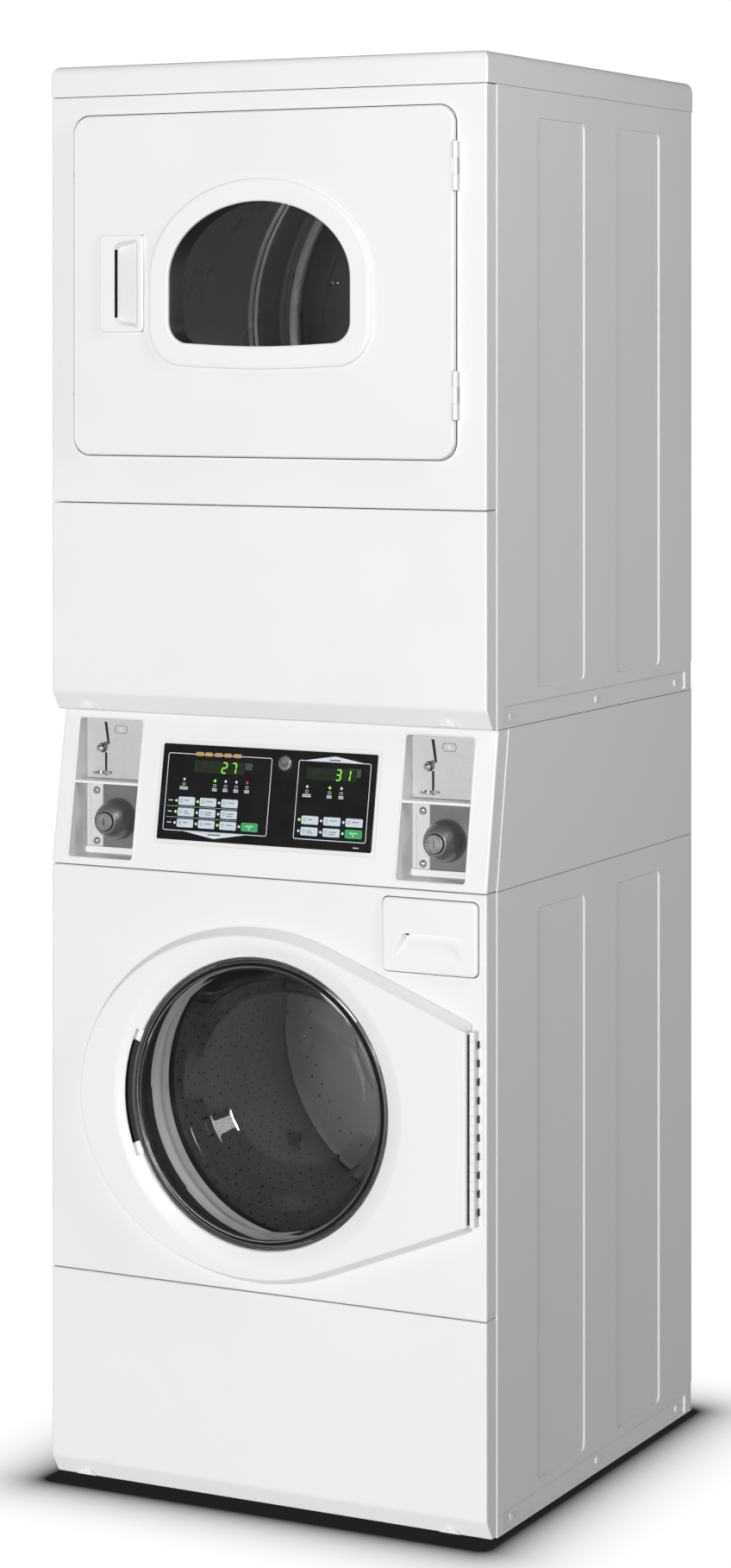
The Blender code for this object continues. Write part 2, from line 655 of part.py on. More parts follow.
def door_outline(grow, y):
    """The door's outline: an ellipse with straight tangents to the two ends of the hinge edge."""
    cx, cz, a, b = WASHER_DOOR_ELLIPSE
    a, b = a + grow, b + grow
    edge_x = WASHER_HINGE[0] - WASHER_HINGE_RADIUS - GAP
    corners = [(edge_x, WASHER_HINGE_Z[1] + grow), (edge_x, WASHER_HINGE_Z[0] - grow)]

    def touch(corner, way):
        u, w = (corner[0] - cx) / a, (corner[1] - cz) / b
        return math.atan2(w, u) + way * math.acos(1 / math.hypot(u, w))

    start, end = touch(corners[0], 1), touch(corners[1], -1) + 2 * math.pi
    steps = 30
    angles = [start + (end - start) * i / steps for i in range(steps + 1)]
    points = [(cx + a * math.cos(t), cz + b * math.sin(t)) for t in angles]
    return [(x, front_y(y), z) for x, z in [corners[0]] + points + [corners[1]]]


def grip_sector(outer, half_angle, steps=8):
    """Part of a ring at the left of the window, where fingers reach behind the door's lip."""
    angles = [math.radians(180 + half_angle * (2 * i / steps - 1)) for i in range(steps + 1)]
    arcs = [(outer, angle) for angle in angles] + [(0.195, angle) for angle in reversed(angles)]
    return [(r * math.cos(angle), DRUM_Z + r * math.sin(angle)) for r, angle in arcs]


def build_washer_door():
    hinge = pivot("washer_door_pivot", (*WASHER_HINGE, DRUM_Z))
    proud = -WASHER_DOOR_PROUD
    loops = [door_outline(0.008, -0.0010), door_outline(0.001, proud + 0.004), door_outline(-0.005, proud)]
    frame = add("washer_door_frame", loft(loops), "white_plastic")
    lip = WASHER_WINDOW_RADIUS + 0.0007
    hole = [
        (0, proud - 0.01), (0.235, proud - 0.01), (0.222, proud), (0.208, proud + 0.004), (lip, proud + 0.0075),
        (lip, -0.0085), (0.186, -0.0085), (0.186, 0.01), (0, 0.01),
    ]
    cut(frame, turned(along_y(hole), "Y", (0, DRUM_Z)))
    cut(
        frame,
        prism(grip_sector(0.2095, 24), "Y", front_y(proud - 0.01), front_y(-0.004)),
        prism(grip_sector(0.2255, 20), "Y", front_y(-0.0165), front_y(-0.004)),
    )

    x, y = WASHER_HINGE
    low, high = WASHER_HINGE_Z
    pitch = (high - low) / HINGE_KNUCKLES
    pin = rod("Z", (x, y), 0.0018, low + 0.001, high - 0.001, 8)
    leaf = add("washer_door_hinge", pin, "stainless", (x, y, low))
    join(
        leaf,
        block((x + 0.0012, x + 0.0027), (y + WASHER_HINGE_RADIUS + 0.0006, FRONT - 0.0004), (low, high)),
        block((x + 0.0012, x + 0.0125), (FRONT - 0.0016, FRONT - 0.0004), (low, high)),
    )
    for i in range(HINGE_KNUCKLES):
        z0, z1 = low + i * pitch + 0.0004, low + (i + 1) * pitch - 0.0004
        if i % 2 == 0:
            join(
                leaf,
                rod("Z", (x, y), WASHER_HINGE_RADIUS, z0, z1, 12),
                block((x + 0.0011, x + 0.0026), (y, y + WASHER_HINGE_RADIUS + 0.002), (z0, z1)),
            )
        else:
            join(frame, block((x - 0.012, x), (y - 0.0022, y + 0.0022), (z0, z1)))
            join(frame, rod("Z", (x, y), WASHER_HINGE_RADIUS, z0, z1, 12))
            cut(frame, rod("Z", (x, y), 0.0024, z0 - 0.001, z1 + 0.001, 8))
    hang(frame, hinge)

    bowl = [
        (0, -0.0145), (WASHER_WINDOW_RADIUS, -0.0145), (WASHER_WINDOW_RADIUS, -0.0090), (0.178, -0.0090),
        (0.168, 0.020), (0.156, 0.062), (0.140, 0.084), (0.110, 0.097), (0.060, 0.103), (0, 0.103),
    ]
    inner = [
        (0, 0.099), (0.058, 0.099), (0.107, 0.093), (0.136, 0.081), (0.152, 0.060), (0.164, 0.018),
        (0.172, -0.0200), (0, -0.0200),
    ]
    glass = add("washer_door_glass", turned(along_y(bowl), "Y", (0, DRUM_Z)), "glass")
    cut(glass, turned(along_y(inner), "Y", (0, DRUM_Z)))
    hang(glass, hinge)


def build_drawer():
    (x0, x1), (z0, z1) = DRAWER_X, DRAWER_Z
    front = rounded((x0, z0), (x1, z1), 0.008, 3)
    face = prism(front, "Y", FRONT - 0.005, front_y(0.010))
    drawer = add("dispenser_drawer", face, "white_plastic", (x0, FRONT - 0.005, z0))
    tray_x, tray_z = (x0 + 0.005, x1 - 0.005), (z0 + 0.016, z1 - 0.020)
    tray_back = front_y(0.235)
    join(drawer, block(tray_x, (front_y(0.008), tray_back), tray_z))
    wall = 0.002
    middle = tray_x[0] + 0.62 * (tray_x[1] - tray_x[0])
    for x in ((tray_x[0] + wall, middle - wall / 2), (middle + wall / 2, tray_x[1] - wall)):
        cut(drawer, block(x, (front_y(0.012), tray_back - wall), (tray_z[0] + wall, tray_z[1] + 0.01)))
    grip_depth = 0.012
    scoop = [
        (FRONT - 0.02, 0.810), (FRONT - 0.005 + grip_depth, 0.810), (FRONT - 0.005 + grip_depth, 0.802),
        (FRONT - 0.005, 0.777), (FRONT - 0.02, 0.777),
    ]
    cut(drawer, prism(scoop, "X", 0.210, 0.304))


# Dryer --------------------------------------------------------------------------------------------


def mouth(grow, radius=0.06):
    low = (-DRYER_MOUTH_X - grow, DRYER_MOUTH_Z[0] - grow)
    high = (DRYER_MOUTH_X + grow, DRYER_MOUTH_Z[1] + grow)
    return rounded(low, high, radius + grow)


def build_dryer_front():
    panel = front_pan("dryer_front_panel", DRYER_PANEL_BOTTOM + GAP, LID_BOTTOM - GAP)
    bulkhead = (front_y(0.068), front_y(0.070))
    join(
        panel,
        prism(mouth(0.0015), "Y", front_y(0.0007), bulkhead[1]),
        block((-0.333, 0.333), bulkhead, (1.345, 1.940)),
    )
    cut(panel, prism(mouth(0), "Y", FRONT - 0.01, front_y(0.08)))
    slot = (front_y(FILTER_Y[0] - 0.0015), front_y(FILTER_Y[1] + 0.0015))
    cut(panel, block((-FILTER_HALF - 0.0015, FILTER_HALF + 0.0015), slot, (1.500, 1.530)))
    x, y = DRYER_HINGE
    for z0, z1 in DRYER_HINGES_Z.values():
        third = (z1 - z0) / 3
        for low, high in ((z0, z0 + third - GAP), (z1 - third + GAP, z1)):
            join(
                panel,
                block((x, x + 0.003), (y, front_y(0.0008)), (low, high)),
                rod("Z", (x, y), DRYER_HINGE_RADIUS, low, high, 12),
            )
    lower_panel("dryer_lower_panel", CONSOLE_TOP + GAP, DRYER_PANEL_BOTTOM - GAP)


def margin(x, z, grow, radius, steps=4):
    """A rounded rectangle grown by a margin, from its two ranges."""
    return rounded((x[0] - grow, z[0] - grow), (x[1] + grow, z[1] + grow), radius, steps)


def stepped(x, z, radius, levels):
    """A plate with softened front edges: each level is its inset and its depth."""
    loops = []
    for inset, depth in levels:
        loops.append([(px, front_y(depth), pz) for px, pz in margin(x, z, -inset, radius - inset)])
    return loft(loops)


def build_dryer_door():
    hinge = pivot("dryer_door_pivot", (*DRYER_HINGE, (DRYER_DOOR_Z[0] + DRYER_DOOR_Z[1]) / 2))
    proud = -DRYER_DOOR_PROUD
    levels = ((0, -0.0010), (0, proud + 0.005), (0.005, proud))
    door = add("dryer_door", stepped(DRYER_DOOR_X, DRYER_DOOR_Z, 0.025, levels), "white_enamel")
    bulge_x, bulge_z = (-0.207, 0.207), (1.533, 1.817)
    join(door, prism(margin(bulge_x, bulge_z, 0, 0.05), "Y", front_y(-0.0030), front_y(0.040)))
    t = SHEET
    edge_wall = 0.006
    window_x = (-WINDOW_X, WINDOW_X)
    hole_margin = 0.008
    plate_hole_x, plate_hole_z = (-0.237, -0.184), (1.6175, 1.7525)
    cut(
        door,
        prism(margin(DRYER_DOOR_X, DRYER_DOOR_Z, -edge_wall, 0.019), "Y", front_y(-0.0085), front_y(-0.0024)),
        prism(margin(bulge_x, bulge_z, -t, 0.05 - t), "Y", front_y(-0.0040), front_y(0.040 - t)),
        prism(margin(window_x, WINDOW_Z, hole_margin, 0.045), "Y", front_y(-0.03), front_y(0.06)),
        block(plate_hole_x, (front_y(-0.03), front_y(-0.0060)), plate_hole_z),
    )
    x, y = DRYER_HINGE
    for z0, z1 in DRYER_HINGES_Z.values():
        third = (z1 - z0) / 3
        cut(door, block((x - 0.0045, x + 0.01), (y - 0.01, y + 0.02), (z0 - 0.001, z1 + 0.001)))
        join(
            door,
            block((x - 0.0060, x), (y - 0.0012, y + 0.0020), (z0 + third, z1 - third)),
            rod("Z", (x, y), DRYER_HINGE_RADIUS, z0 + third, z1 - third, 12),
        )
    hang(door, hinge)

    bezel_x = (-WINDOW_X - BEZEL_MARGIN, WINDOW_X + BEZEL_MARGIN)
    bezel_z = (WINDOW_Z[0] - BEZEL_MARGIN, WINDOW_Z[1] + BEZEL_MARGIN)
    levels = ((0, -0.0104), (0.001, -0.0125), (0.006, -0.0150))
    bezel = add("window_bezel", stepped(bezel_x, bezel_z, 0.060, levels), "white_plastic")
    cut(bezel, prism(margin(window_x, WINDOW_Z, 0, 0.04), "Y", front_y(-0.03), front_y(0.01)))
    hang(bezel, hinge)
    pane = margin(window_x, WINDOW_Z, hole_margin - 0.0008, 0.044)
    glass = add("window_glass", prism(pane, "Y", front_y(-0.0098), front_y(-0.0058)), "glass")
    hang(glass, hinge)

    plate = margin(HANDLE_X, HANDLE_Z, 0, 0.010, 3)
    handle = add("dryer_door_handle", prism(plate, "Y", front_y(-0.0140), front_y(-0.0104)), "white_plastic")
    join(handle, block((-0.2355, -0.1855), (front_y(-0.0120), front_y(-0.0028)), (1.6190, 1.7510)))
    cut(handle, block(HANDLE_POCKET_X, (front_y(-0.02), front_y(-0.0040)), HANDLE_POCKET_Z))
    hang(handle, hinge)


def build_dryer_inside():
    centre = (0, DRYER_DRUM_Z)
    r, t = DRYER_DRUM_RADIUS, 0.0015
    drum = [
        (0, 0.705), (0.012, 0.705), (0.012, 0.642), (r, 0.642), (r, 0.0745), (0.280, 0.0745), (0.280, 0.0745 + t),
        (r - t, 0.0745 + t), (r - t, 0.642 - t), (0, 0.642 - t),
    ]
    shell = turned(along_y(drum), "Y", centre)
    dryer_drum = add("dryer_drum", shell, "galvanised", (0, front_y(0.0745), DRYER_DRUM_Z))
    for angle in (90, 210, 330):
        shape = fin(angle, r - 0.0012, r - 0.055, 0.020, 0.008, DRYER_DRUM_Z)
        join(dryer_drum, prism(shape, "Y", front_y(0.110), front_y(0.600)))

    bx, bz = BLOWER_AT
    ex, ez = EXHAUST_AT
    y0, y1 = 0.046, 0.160
    wall = 0.0015
    outlet_x, outlet_z = (bx - 0.0173, ex + 0.056), (ez - 0.0545, ez + 0.0545)
    chute_x = (-FILTER_HALF - 0.004, FILTER_HALF + 0.004)
    chute_y = (0.0472, 0.0668)
    chute_z = (1.250, DRYER_MOUTH_Z[0] - 0.005)
    pipe_end = front_y(LID_DEPTH + WASHER_DOOR_PROUD)
    scroll = rod("Y", BLOWER_AT, 0.105, front_y(y0), front_y(y1), MEDIUM)
    housing = add("blower_housing", scroll, "galvanised")
    join(
        housing,
        block(outlet_x, (front_y(y0 + 0.001), front_y(y1 + 0.001)), outlet_z),
        block(chute_x, [front_y(v) for v in chute_y], chute_z),
        rod("Y", EXHAUST_AT, EXHAUST_RADIUS, front_y(0.150), pipe_end, MEDIUM),
    )
    outlet_y = (front_y(y0 + 0.001 + wall), front_y(y1 + 0.001 - wall))
    inside_y = (front_y(chute_y[0] + wall), front_y(chute_y[1] - wall))
    cut(
        housing,
        rod("Y", BLOWER_AT, 0.105 - wall, front_y(y0 + wall), front_y(y1 - wall), MEDIUM),
        block((outlet_x[0], outlet_x[1] - wall), outlet_y, (outlet_z[0] + wall, outlet_z[1] - wall)),
        block((chute_x[0] + wall, chute_x[1] - wall), inside_y, (chute_z[0] + wall, chute_z[1] + 0.01)),
        rod("Y", EXHAUST_AT, EXHAUST_RADIUS - wall, front_y(0.150), pipe_end + 0.1, MEDIUM),
        rod("Y", BLOWER_AT, 0.012, front_y(0.150), front_y(0.17)),
    )

    motor = [
        (0.0092, 0.190), (0.045, 0.190), (0.058, 0.200), (0.058, 0.350), (0.045, 0.360), (0.0092, 0.360),
    ]
    dryer_motor = add("dryer_motor", turned(along_y(motor), "Y", BLOWER_AT, MEDIUM), "motor_grey")
    cradle = block((bx - 0.045, bx + 0.045), (front_y(0.230), front_y(0.320)), (CONSOLE_TOP + 0.0045, bz - 0.035))
    join(dryer_motor, cradle)
    rotor = [
        (0, 0.052), (0.030, 0.052), (0.085, 0.056), (0.085, 0.150), (0.080, 0.150), (0.080, 0.066), (0.020, 0.064),
        (0.0080, 0.080), (0.0080, 0.408), (0.014, 0.408), (0.014, 0.432), (0, 0.432),
    ]
    wheel = turned(along_y(rotor), "Y", BLOWER_AT, MEDIUM)
    add("blower_wheel", wheel, "galvanised", (bx, front_y(0.052), bz))
    drum_wheel, motor_wheel = (0, DRYER_DRUM_Z, DRYER_DRUM_RADIUS), (bx, bz, 0.014)
    belt("dryer_belt", front_y(DRYER_BELT_Y), drum_wheel, motor_wheel, 0.010)

    filter_y = (front_y(FILTER_Y[0]), front_y(FILTER_Y[1]))
    screen = block((-FILTER_HALF, FILTER_HALF), filter_y, FILTER_Z)
    lint = add("lint_filter", screen, "white_plastic", (0, filter_y[0], FILTER_Z[0]))
    rim = 0.010
    for x in ((-FILTER_HALF + rim, -rim / 2), (rim / 2, FILTER_HALF - rim)):
        cut(lint, block(x, (filter_y[0] + 0.0035, filter_y[1] + 0.01), (FILTER_Z[0] + rim, FILTER_Z[1] - 0.030)))


def main():
    for obj in list(bpy.data.objects):
        bpy.data.objects.remove(obj)
    build_base()
    build_casings()
    build_washer_front()
    build_washer_inside()
    build_washer_door()
    build_drawer()
    build_console()
    build_dryer_front()
    build_dryer_door()
    build_dryer_inside()


main()
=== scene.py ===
"""Looks of the stacked coin-operated washer and dryer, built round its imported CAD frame."""

import json
import math

import bmesh
import bpy
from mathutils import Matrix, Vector

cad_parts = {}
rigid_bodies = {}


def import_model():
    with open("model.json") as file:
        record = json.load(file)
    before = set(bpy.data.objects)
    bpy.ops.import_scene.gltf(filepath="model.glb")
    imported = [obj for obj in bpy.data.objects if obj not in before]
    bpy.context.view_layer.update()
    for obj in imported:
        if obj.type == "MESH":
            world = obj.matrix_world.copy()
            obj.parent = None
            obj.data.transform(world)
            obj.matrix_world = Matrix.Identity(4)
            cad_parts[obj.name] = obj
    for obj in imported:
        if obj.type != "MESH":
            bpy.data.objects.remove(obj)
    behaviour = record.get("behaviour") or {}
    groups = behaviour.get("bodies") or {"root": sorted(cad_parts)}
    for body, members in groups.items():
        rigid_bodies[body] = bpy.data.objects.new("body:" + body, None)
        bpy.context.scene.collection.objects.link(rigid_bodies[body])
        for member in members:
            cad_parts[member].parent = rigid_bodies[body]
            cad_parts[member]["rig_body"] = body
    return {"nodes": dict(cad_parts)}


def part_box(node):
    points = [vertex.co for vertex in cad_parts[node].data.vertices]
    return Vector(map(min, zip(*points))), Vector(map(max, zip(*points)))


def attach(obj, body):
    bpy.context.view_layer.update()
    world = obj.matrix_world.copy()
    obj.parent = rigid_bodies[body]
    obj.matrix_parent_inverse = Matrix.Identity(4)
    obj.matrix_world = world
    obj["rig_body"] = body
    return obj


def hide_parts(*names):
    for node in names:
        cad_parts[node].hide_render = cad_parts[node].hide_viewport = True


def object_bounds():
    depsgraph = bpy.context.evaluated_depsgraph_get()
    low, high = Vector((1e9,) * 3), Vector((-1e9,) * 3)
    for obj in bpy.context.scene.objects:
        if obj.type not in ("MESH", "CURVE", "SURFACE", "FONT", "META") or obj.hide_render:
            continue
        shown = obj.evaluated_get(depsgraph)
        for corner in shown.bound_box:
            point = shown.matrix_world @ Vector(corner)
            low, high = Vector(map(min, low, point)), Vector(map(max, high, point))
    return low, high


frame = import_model()
CAD_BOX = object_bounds()

# Planes and heights taken from the frame
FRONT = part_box("washer_front_panel")[0].y
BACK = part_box("washer_cabinet")[1].y
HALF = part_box("top_lid")[1].x
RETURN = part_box("washer_front_panel")[1].y - FRONT
GAP = 0.0005
WASHER_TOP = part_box("console_fascia")[0].z - GAP
CONSOLE_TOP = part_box("console_fascia")[1].z + GAP
TILT = math.atan2(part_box("console_fascia")[1].y - FRONT - RETURN, CONSOLE_TOP - WASHER_TOP)
DRUM_Z = sum(v.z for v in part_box("washer_drum")) / 2
DRYER_DRUM_Z = sum(v.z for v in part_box("dryer_drum")) / 2
DRUM, DRYER_DRUM = (0, DRUM_Z), (0, DRYER_DRUM_Z)


# Materials ----------------------------------------------------------------------------------------


class Graph:
    """A node tree, with short ways to add nodes that are fed by values or by other nodes."""

    def __init__(self, tree):
        self.nodes, self.links = tree.nodes, tree.links

    def feed(self, node, socket, value):
        if isinstance(value, bpy.types.NodeSocket):
            self.links.new(value, node.inputs[socket])
        else:
            node.inputs[socket].default_value = value

    def add(self, kind, inputs=(), **settings):
        node = self.nodes.new("ShaderNode" + kind)
        for name, value in settings.items():
            setattr(node, name, value)
        for socket, value in dict(inputs).items():
            self.feed(node, socket, value)
        return node

    def noise(self, place, scale, detail=3.0):
        return self.add("TexNoise", {"Scale": scale, "Detail": detail, "Vector": place}).outputs["Fac"]

    def gloss(self, shader, fac, low, high, **span):
        """Roughness that varies between two values."""
        inputs = {"Value": fac, "To Min": low, "To Max": high}
        inputs.update({name.replace("_", " "): value for name, value in span.items()})
        self.feed(shader, "Roughness", self.add("MapRange", inputs).outputs["Result"])

    def relief(self, shader, fac, strength, distance):
        bump = self.add("Bump", {"Strength": strength, "Distance": distance, "Height": fac})
        self.feed(shader, "Normal", bump.outputs["Normal"])


def grey(level):
    return (level, level, level)


def start(name, stretch=(1, 1, 1)):
    """A new material with its graph, its shader and a place on the object."""
    made = bpy.data.materials.new(name)
    made.use_nodes = True
    graph = Graph(made.node_tree)
    mapping = graph.add("Mapping", {"Scale": stretch, "Vector": graph.add("TexCoord").outputs["Object"]})
    return made, graph, graph.nodes["Principled BSDF"], mapping.outputs["Vector"]


def surface(
    name, colour, roughness, metallic=0.0, grain=(700, 0.15), mottle=(7, 0.015), rub=0.04,
    stretch=(1, 1, 1), cells=0.0, **sockets,
):
    """A finish with a fine relief, a faint unevenness of colour and a varying gloss."""
    made, graph, shader, place = start(name, stretch)
    graph.feed(shader, "Metallic", metallic)
    for socket, value in sockets.items():
        graph.feed(shader, socket.replace("_", " "), value)
    if cells:
        crystal = graph.add("TexVoronoi", {"Scale": cells, "Vector": place})
        fac = graph.add("SeparateColor", {"Color": crystal.outputs["Color"]}).outputs["Red"]
    else:
        fac = graph.noise(place, mottle[0])
    low = (*(c * (1 - mottle[1]) for c in colour), 1)
    high = (*(min(1.0, c * (1 + mottle[1])) for c in colour), 1)
    mix = graph.add("Mix", data_type="RGBA")
    for socket, value in ((0, fac), (6, low), (7, high)):
        graph.feed(mix, socket, value)
    graph.feed(shader, "Base Color", mix.outputs[2])
    graph.gloss(shader, fac, max(0.0, roughness - rub), roughness + rub, From_Min=0.3, From_Max=0.7)
    graph.relief(shader, graph.noise(place, grain[0], 2.0), grain[1], 0.0003)
    return made


def speckled(name, dark, light, scale, roughness, metallic=0.0):
    """A finely flecked paint."""
    made, graph, shader, place = start(name)
    graph.feed(shader, "Metallic", metallic)
    fleck = graph.noise(place, scale, 4.0)
    ramp = graph.add("ValToRGB", {"Fac": fleck})
    for element, position, colour in zip(ramp.color_ramp.elements, (0.4, 0.6), (dark, light)):
        element.position = position
        element.color = (*colour, 1)
    graph.feed(shader, "Base Color", ramp.outputs["Color"])
    graph.gloss(shader, fleck, roughness - 0.08, roughness + 0.08)
    graph.relief(shader, fleck, 0.2, 0.0002)
    return made


def clear_glass(name, tint, shade):
    """Glass that also lets lamps through to what is behind it."""
    made, graph, shader, place = start(name)
    for socket, value in (("Base Color", (*tint, 1)), ("Transmission Weight", 1.0), ("IOR", 1.45)):
        graph.feed(shader, socket, value)
    graph.gloss(shader, graph.noise(place, 9.0), 0.0, 0.03)
    through = graph.add("BsdfTransparent", {"Color": (*shade, 1)})
    mix = graph.add("MixShader", {0: graph.add("LightPath").outputs["Is Shadow Ray"],
                                  1: shader.outputs["BSDF"], 2: through.outputs["BSDF"]})
    graph.feed(graph.nodes["Material Output"], "Surface", mix.outputs["Shader"])
    return made


def glowing(name, colour, strength):
    return surface(name, grey(0.02), 0.3, grain=(900, 0.05), mottle=(60, 0.2),
                   Emission_Color=(*colour, 1), Emission_Strength=strength)


def printed(name, colour, roughness, unevenness, spots=90, relief=0.05, **sockets):
    """Ink and film: nearly smooth."""
    return surface(name, colour, roughness, grain=(2000, relief), mottle=(spots, unevenness), **sockets)


DULL = {"Specular_IOR_Level": 0.25}
COATED = {"Coat_Weight": 0.25, "Coat_Roughness": 0.12}
BRUSHED = {"stretch": (1, 6, 1)}
M = {
    "enamel": surface("enamel_white", grey(0.82), 0.34, 0.0, (420, 0.06), **COATED),
    "plastic": surface("plastic_white", grey(0.82), 0.42, grain=(1600, 0.12), mottle=(9, 0.012)),
    "fascia": surface("fascia_white", grey(0.82), 0.4, grain=(1200, 0.1), mottle=(9, 0.012)),
    "galvanised": surface("galvanised_sheet", grey(0.5), 0.42, 0.9, mottle=(9, 0.1), rub=0.1, cells=55),
    "painted_drum": surface("drum_paint", grey(0.15), 0.28, 0.45, (500, 0.08), (6, 0.03), 0.015),
    "stainless": surface("stainless_brushed", grey(0.15), 0.32, 0.75, (160, 0.05), (5, 0.35), **BRUSHED),
    "chrome": surface("chrome_polished", grey(0.78), 0.1, 1.0, (300, 0.03), (20, 0.02), 0.03),
    "lock_steel": surface("lock_steel", grey(0.5), 0.28, 1.0, (1500, 0.15), (80, 0.1), 0.06),
    "vault": surface("vault_paint", grey(0.19), 0.36, 0.3, (1400, 0.2), (40, 0.06)),
    "vault_dome": surface("vault_dome_steel", grey(0.25), 0.3, 0.8, (900, 0.08), (40, 0.08)),
    "plate": speckled("plate_flecked", grey(0.5), grey(0.6), 1400, 0.42, 0.2),
    "bracket": speckled("bracket_flecked", grey(0.56), grey(0.74), 1500, 0.45, 0.1),
    "black_film": printed("film_black", grey(0.005), 0.34, 0.25, 30, **DULL),
    # Black plastic; also the painted shade in the washer door's grip.
    "black_plastic": surface("plastic_and_shade_black", grey(0.012), 0.45, grain=(1500, 0.2), mottle=(30, 0.2)),
    "key": surface("key_pale", (0.55, 0.63, 0.7), 0.42, grain=(1800, 0.12), mottle=(60, 0.03)),
    "key_green": surface("key_green", (0.02, 0.36, 0.09), 0.42, grain=(1800, 0.12), mottle=(60, 0.05)),
    "print": printed("print_white", (0.62, 0.68, 0.72), 0.5, 0.05),
    "ink": printed("print_dark", (0.1, 0.12, 0.14), 0.5, 0.1),
    "display_margin": printed("display_margin", (0.05, 0.06, 0.045), 0.35, 0.08, 120, 0.04),
    "lamp_amber": printed("mark_amber", (0.46, 0.3, 0.1), 0.45, 0.1),
    "display": printed("display_window", (0.018, 0.026, 0.016), 0.3, 0.15, 120, 0.04, **DULL),
    "lamp_green": glowing("lamp_green", (0.24, 0.86, 0.05), 1.5),
    "lamp_red": glowing("lamp_red", (0.7, 0.02, 0.06), 0.8),
    "lamp_off": printed("lamp_clear", grey(0.7), 0.3, 0.05),
    "gasket": surface("gasket_grey", grey(0.88), 0.55, 0.0, (900, 0.25), (14, 0.05), 0.08),
    # Black rubber; also the painted shade rings round the dryer door and at the tub's mouth.
    "rubber": surface("rubber_and_shade_black", grey(0.018), 0.65, 0.0, (1200, 0.35), (30, 0.2), 0.1),
    "zinc": surface("zinc_plated", grey(0.55), 0.3, 1.0, (900, 0.1), (60, 0.1), 0.08),
    "motor": surface("motor_paint", grey(0.06), 0.5, 0.2, (800, 0.35), (25, 0.12), 0.1),
    # Black used mostly for painted shade in slots, gaps, holes and undercuts; the dryer door's buffers are
    # black parts.
    "dark": surface("cavity_black", grey(0.006), 0.8, grain=(900, 0.2), mottle=(40, 0.2)),
    "bowl_glass": clear_glass("door_glass", grey(0.93), grey(0.75)),
    "pane_glass": clear_glass("pane_glass", grey(0.8), grey(0.25)),
}


# Shapes -------------------------------------------------------------------------------------------


def spread(across, along, axis):
    first, second = across
    return {"X": (along, first, second), "Y": (first, along, second), "Z": (first, second, along)}[axis]


def circle(count):
    return [2 * math.pi * i / count for i in range(count)]


def ring(centre, radius, count):
    return [(centre[0] + radius * math.cos(a), centre[1] + radius * math.sin(a)) for a in circle(count)]


def grown(ranges, amount):
    """Ranges that reach further by an amount at both ends."""
    return [(low - amount, high + amount) for low, high in ranges]


def about(centre, *halves):
    """Ranges on both sides of a centre."""
    return [(c - half, c + half) for c, half in zip(centre, halves)]


def loft(loops, closed=False):
    """Quads through loops of points. The ends are capped, unless the last loop joins the first."""
    bm = bmesh.new()
    rings = [[bm.verts.new(point) for point in loop] for loop in loops]
    count = len(rings[0])
    for lower, upper in list(zip(rings, rings[1:])) + ([(rings[-1], rings[0])] if closed else []):
        for i in range(count):
            j = (i + 1) % count
            bm.faces.new((lower[i], lower[j], upper[j], upper[i]))
    if not closed:
        bm.faces.new(rings[0])
        bm.faces.new(rings[-1])
    return bm


def stack(levels, axis="Y", closed=False):
    """A body through flat outlines, given as (outline, place along the axis)."""
    return loft([[spread(point, along, axis) for point in outline] for outline, along in levels], closed)


def prism(outline, axis, start, end):
    return stack([(outline, start), (outline, end)], axis)


def block(x, y, z):
    return prism([(x[0], z[0]), (x[1], z[0]), (x[1], z[1]), (x[0], z[1])], "Y", *y)


def turned(profile, axis, centre, segments=96):
    """A ring of revolution from a closed (radius, along) outline, or a solid where it meets the axis."""
    solid = profile[0][0] == 0
    stations = profile[1:-1] if solid else profile
    levels = [(ring(centre, radius, segments), along) for radius, along in stations]
    return stack(levels, axis, closed=not solid)


def turned_at(plane, profile, centre, segments):
    """Turned about a line along Y, with depths measured from a plane."""
    return turned([(radius, plane + depth) for radius, depth in profile], "Y", centre, segments)


def rod(radius, ends, centre, segments):
    """A solid cylinder along Y."""
    return stack([(ring(centre, radius, segments), end) for end in ends])


def arc(centre, radius, start, end, steps):
    angles = [math.radians(start + (end - start) * i / steps) for i in range(steps + 1)]
    return [(centre[0] + radius * math.cos(a), centre[1] + radius * math.sin(a)) for a in angles]


def rounded(x, z, radius, steps=8):
    corners = ((x[1] - radius, z[1] - radius), (x[0] + radius, z[1] - radius),
               (x[0] + radius, z[0] + radius), (x[1] - radius, z[0] + radius))
    return sum((arc(at, radius, 90 * i, 90 * (i + 1), steps) for i, at in enumerate(corners)), [])


def fillet(points, radii, steps=5):
    """Rounds the corners of a closed outline. radii is one radius, or one for each corner."""
    if not hasattr(radii, "__len__"):
        radii = [radii] * len(points)
    result = []
    for i, radius in enumerate(radii):
        corner = Vector(points[i])
        before, after = Vector(points[i - 1]) - corner, Vector(points[(i + 1) % len(points)]) - corner
        if radius == 0:
            result.append(tuple(corner))
            continue
        cut_back = radius / math.tan(before.angle(after) / 2)
        cut_back = min(cut_back, 0.49 * before.length, 0.49 * after.length)
        first, last = corner + before.normalized() * cut_back, corner + after.normalized() * cut_back
        for k in range(steps + 1):
            t = k / steps
            q = first * (1 - t) ** 2 + corner * (2 * t * (1 - t)) + last * t**2
            result.append((q.x, q.y))
    return result


def plate(x, z, radius, levels, steps=8):
    """A plate facing the front with shaped edges: each level is (inset, y)."""
    return stack([(rounded(*grown((x, z), -inset), max(radius - inset, 0.0004), steps), y)
                  for inset, y in levels])


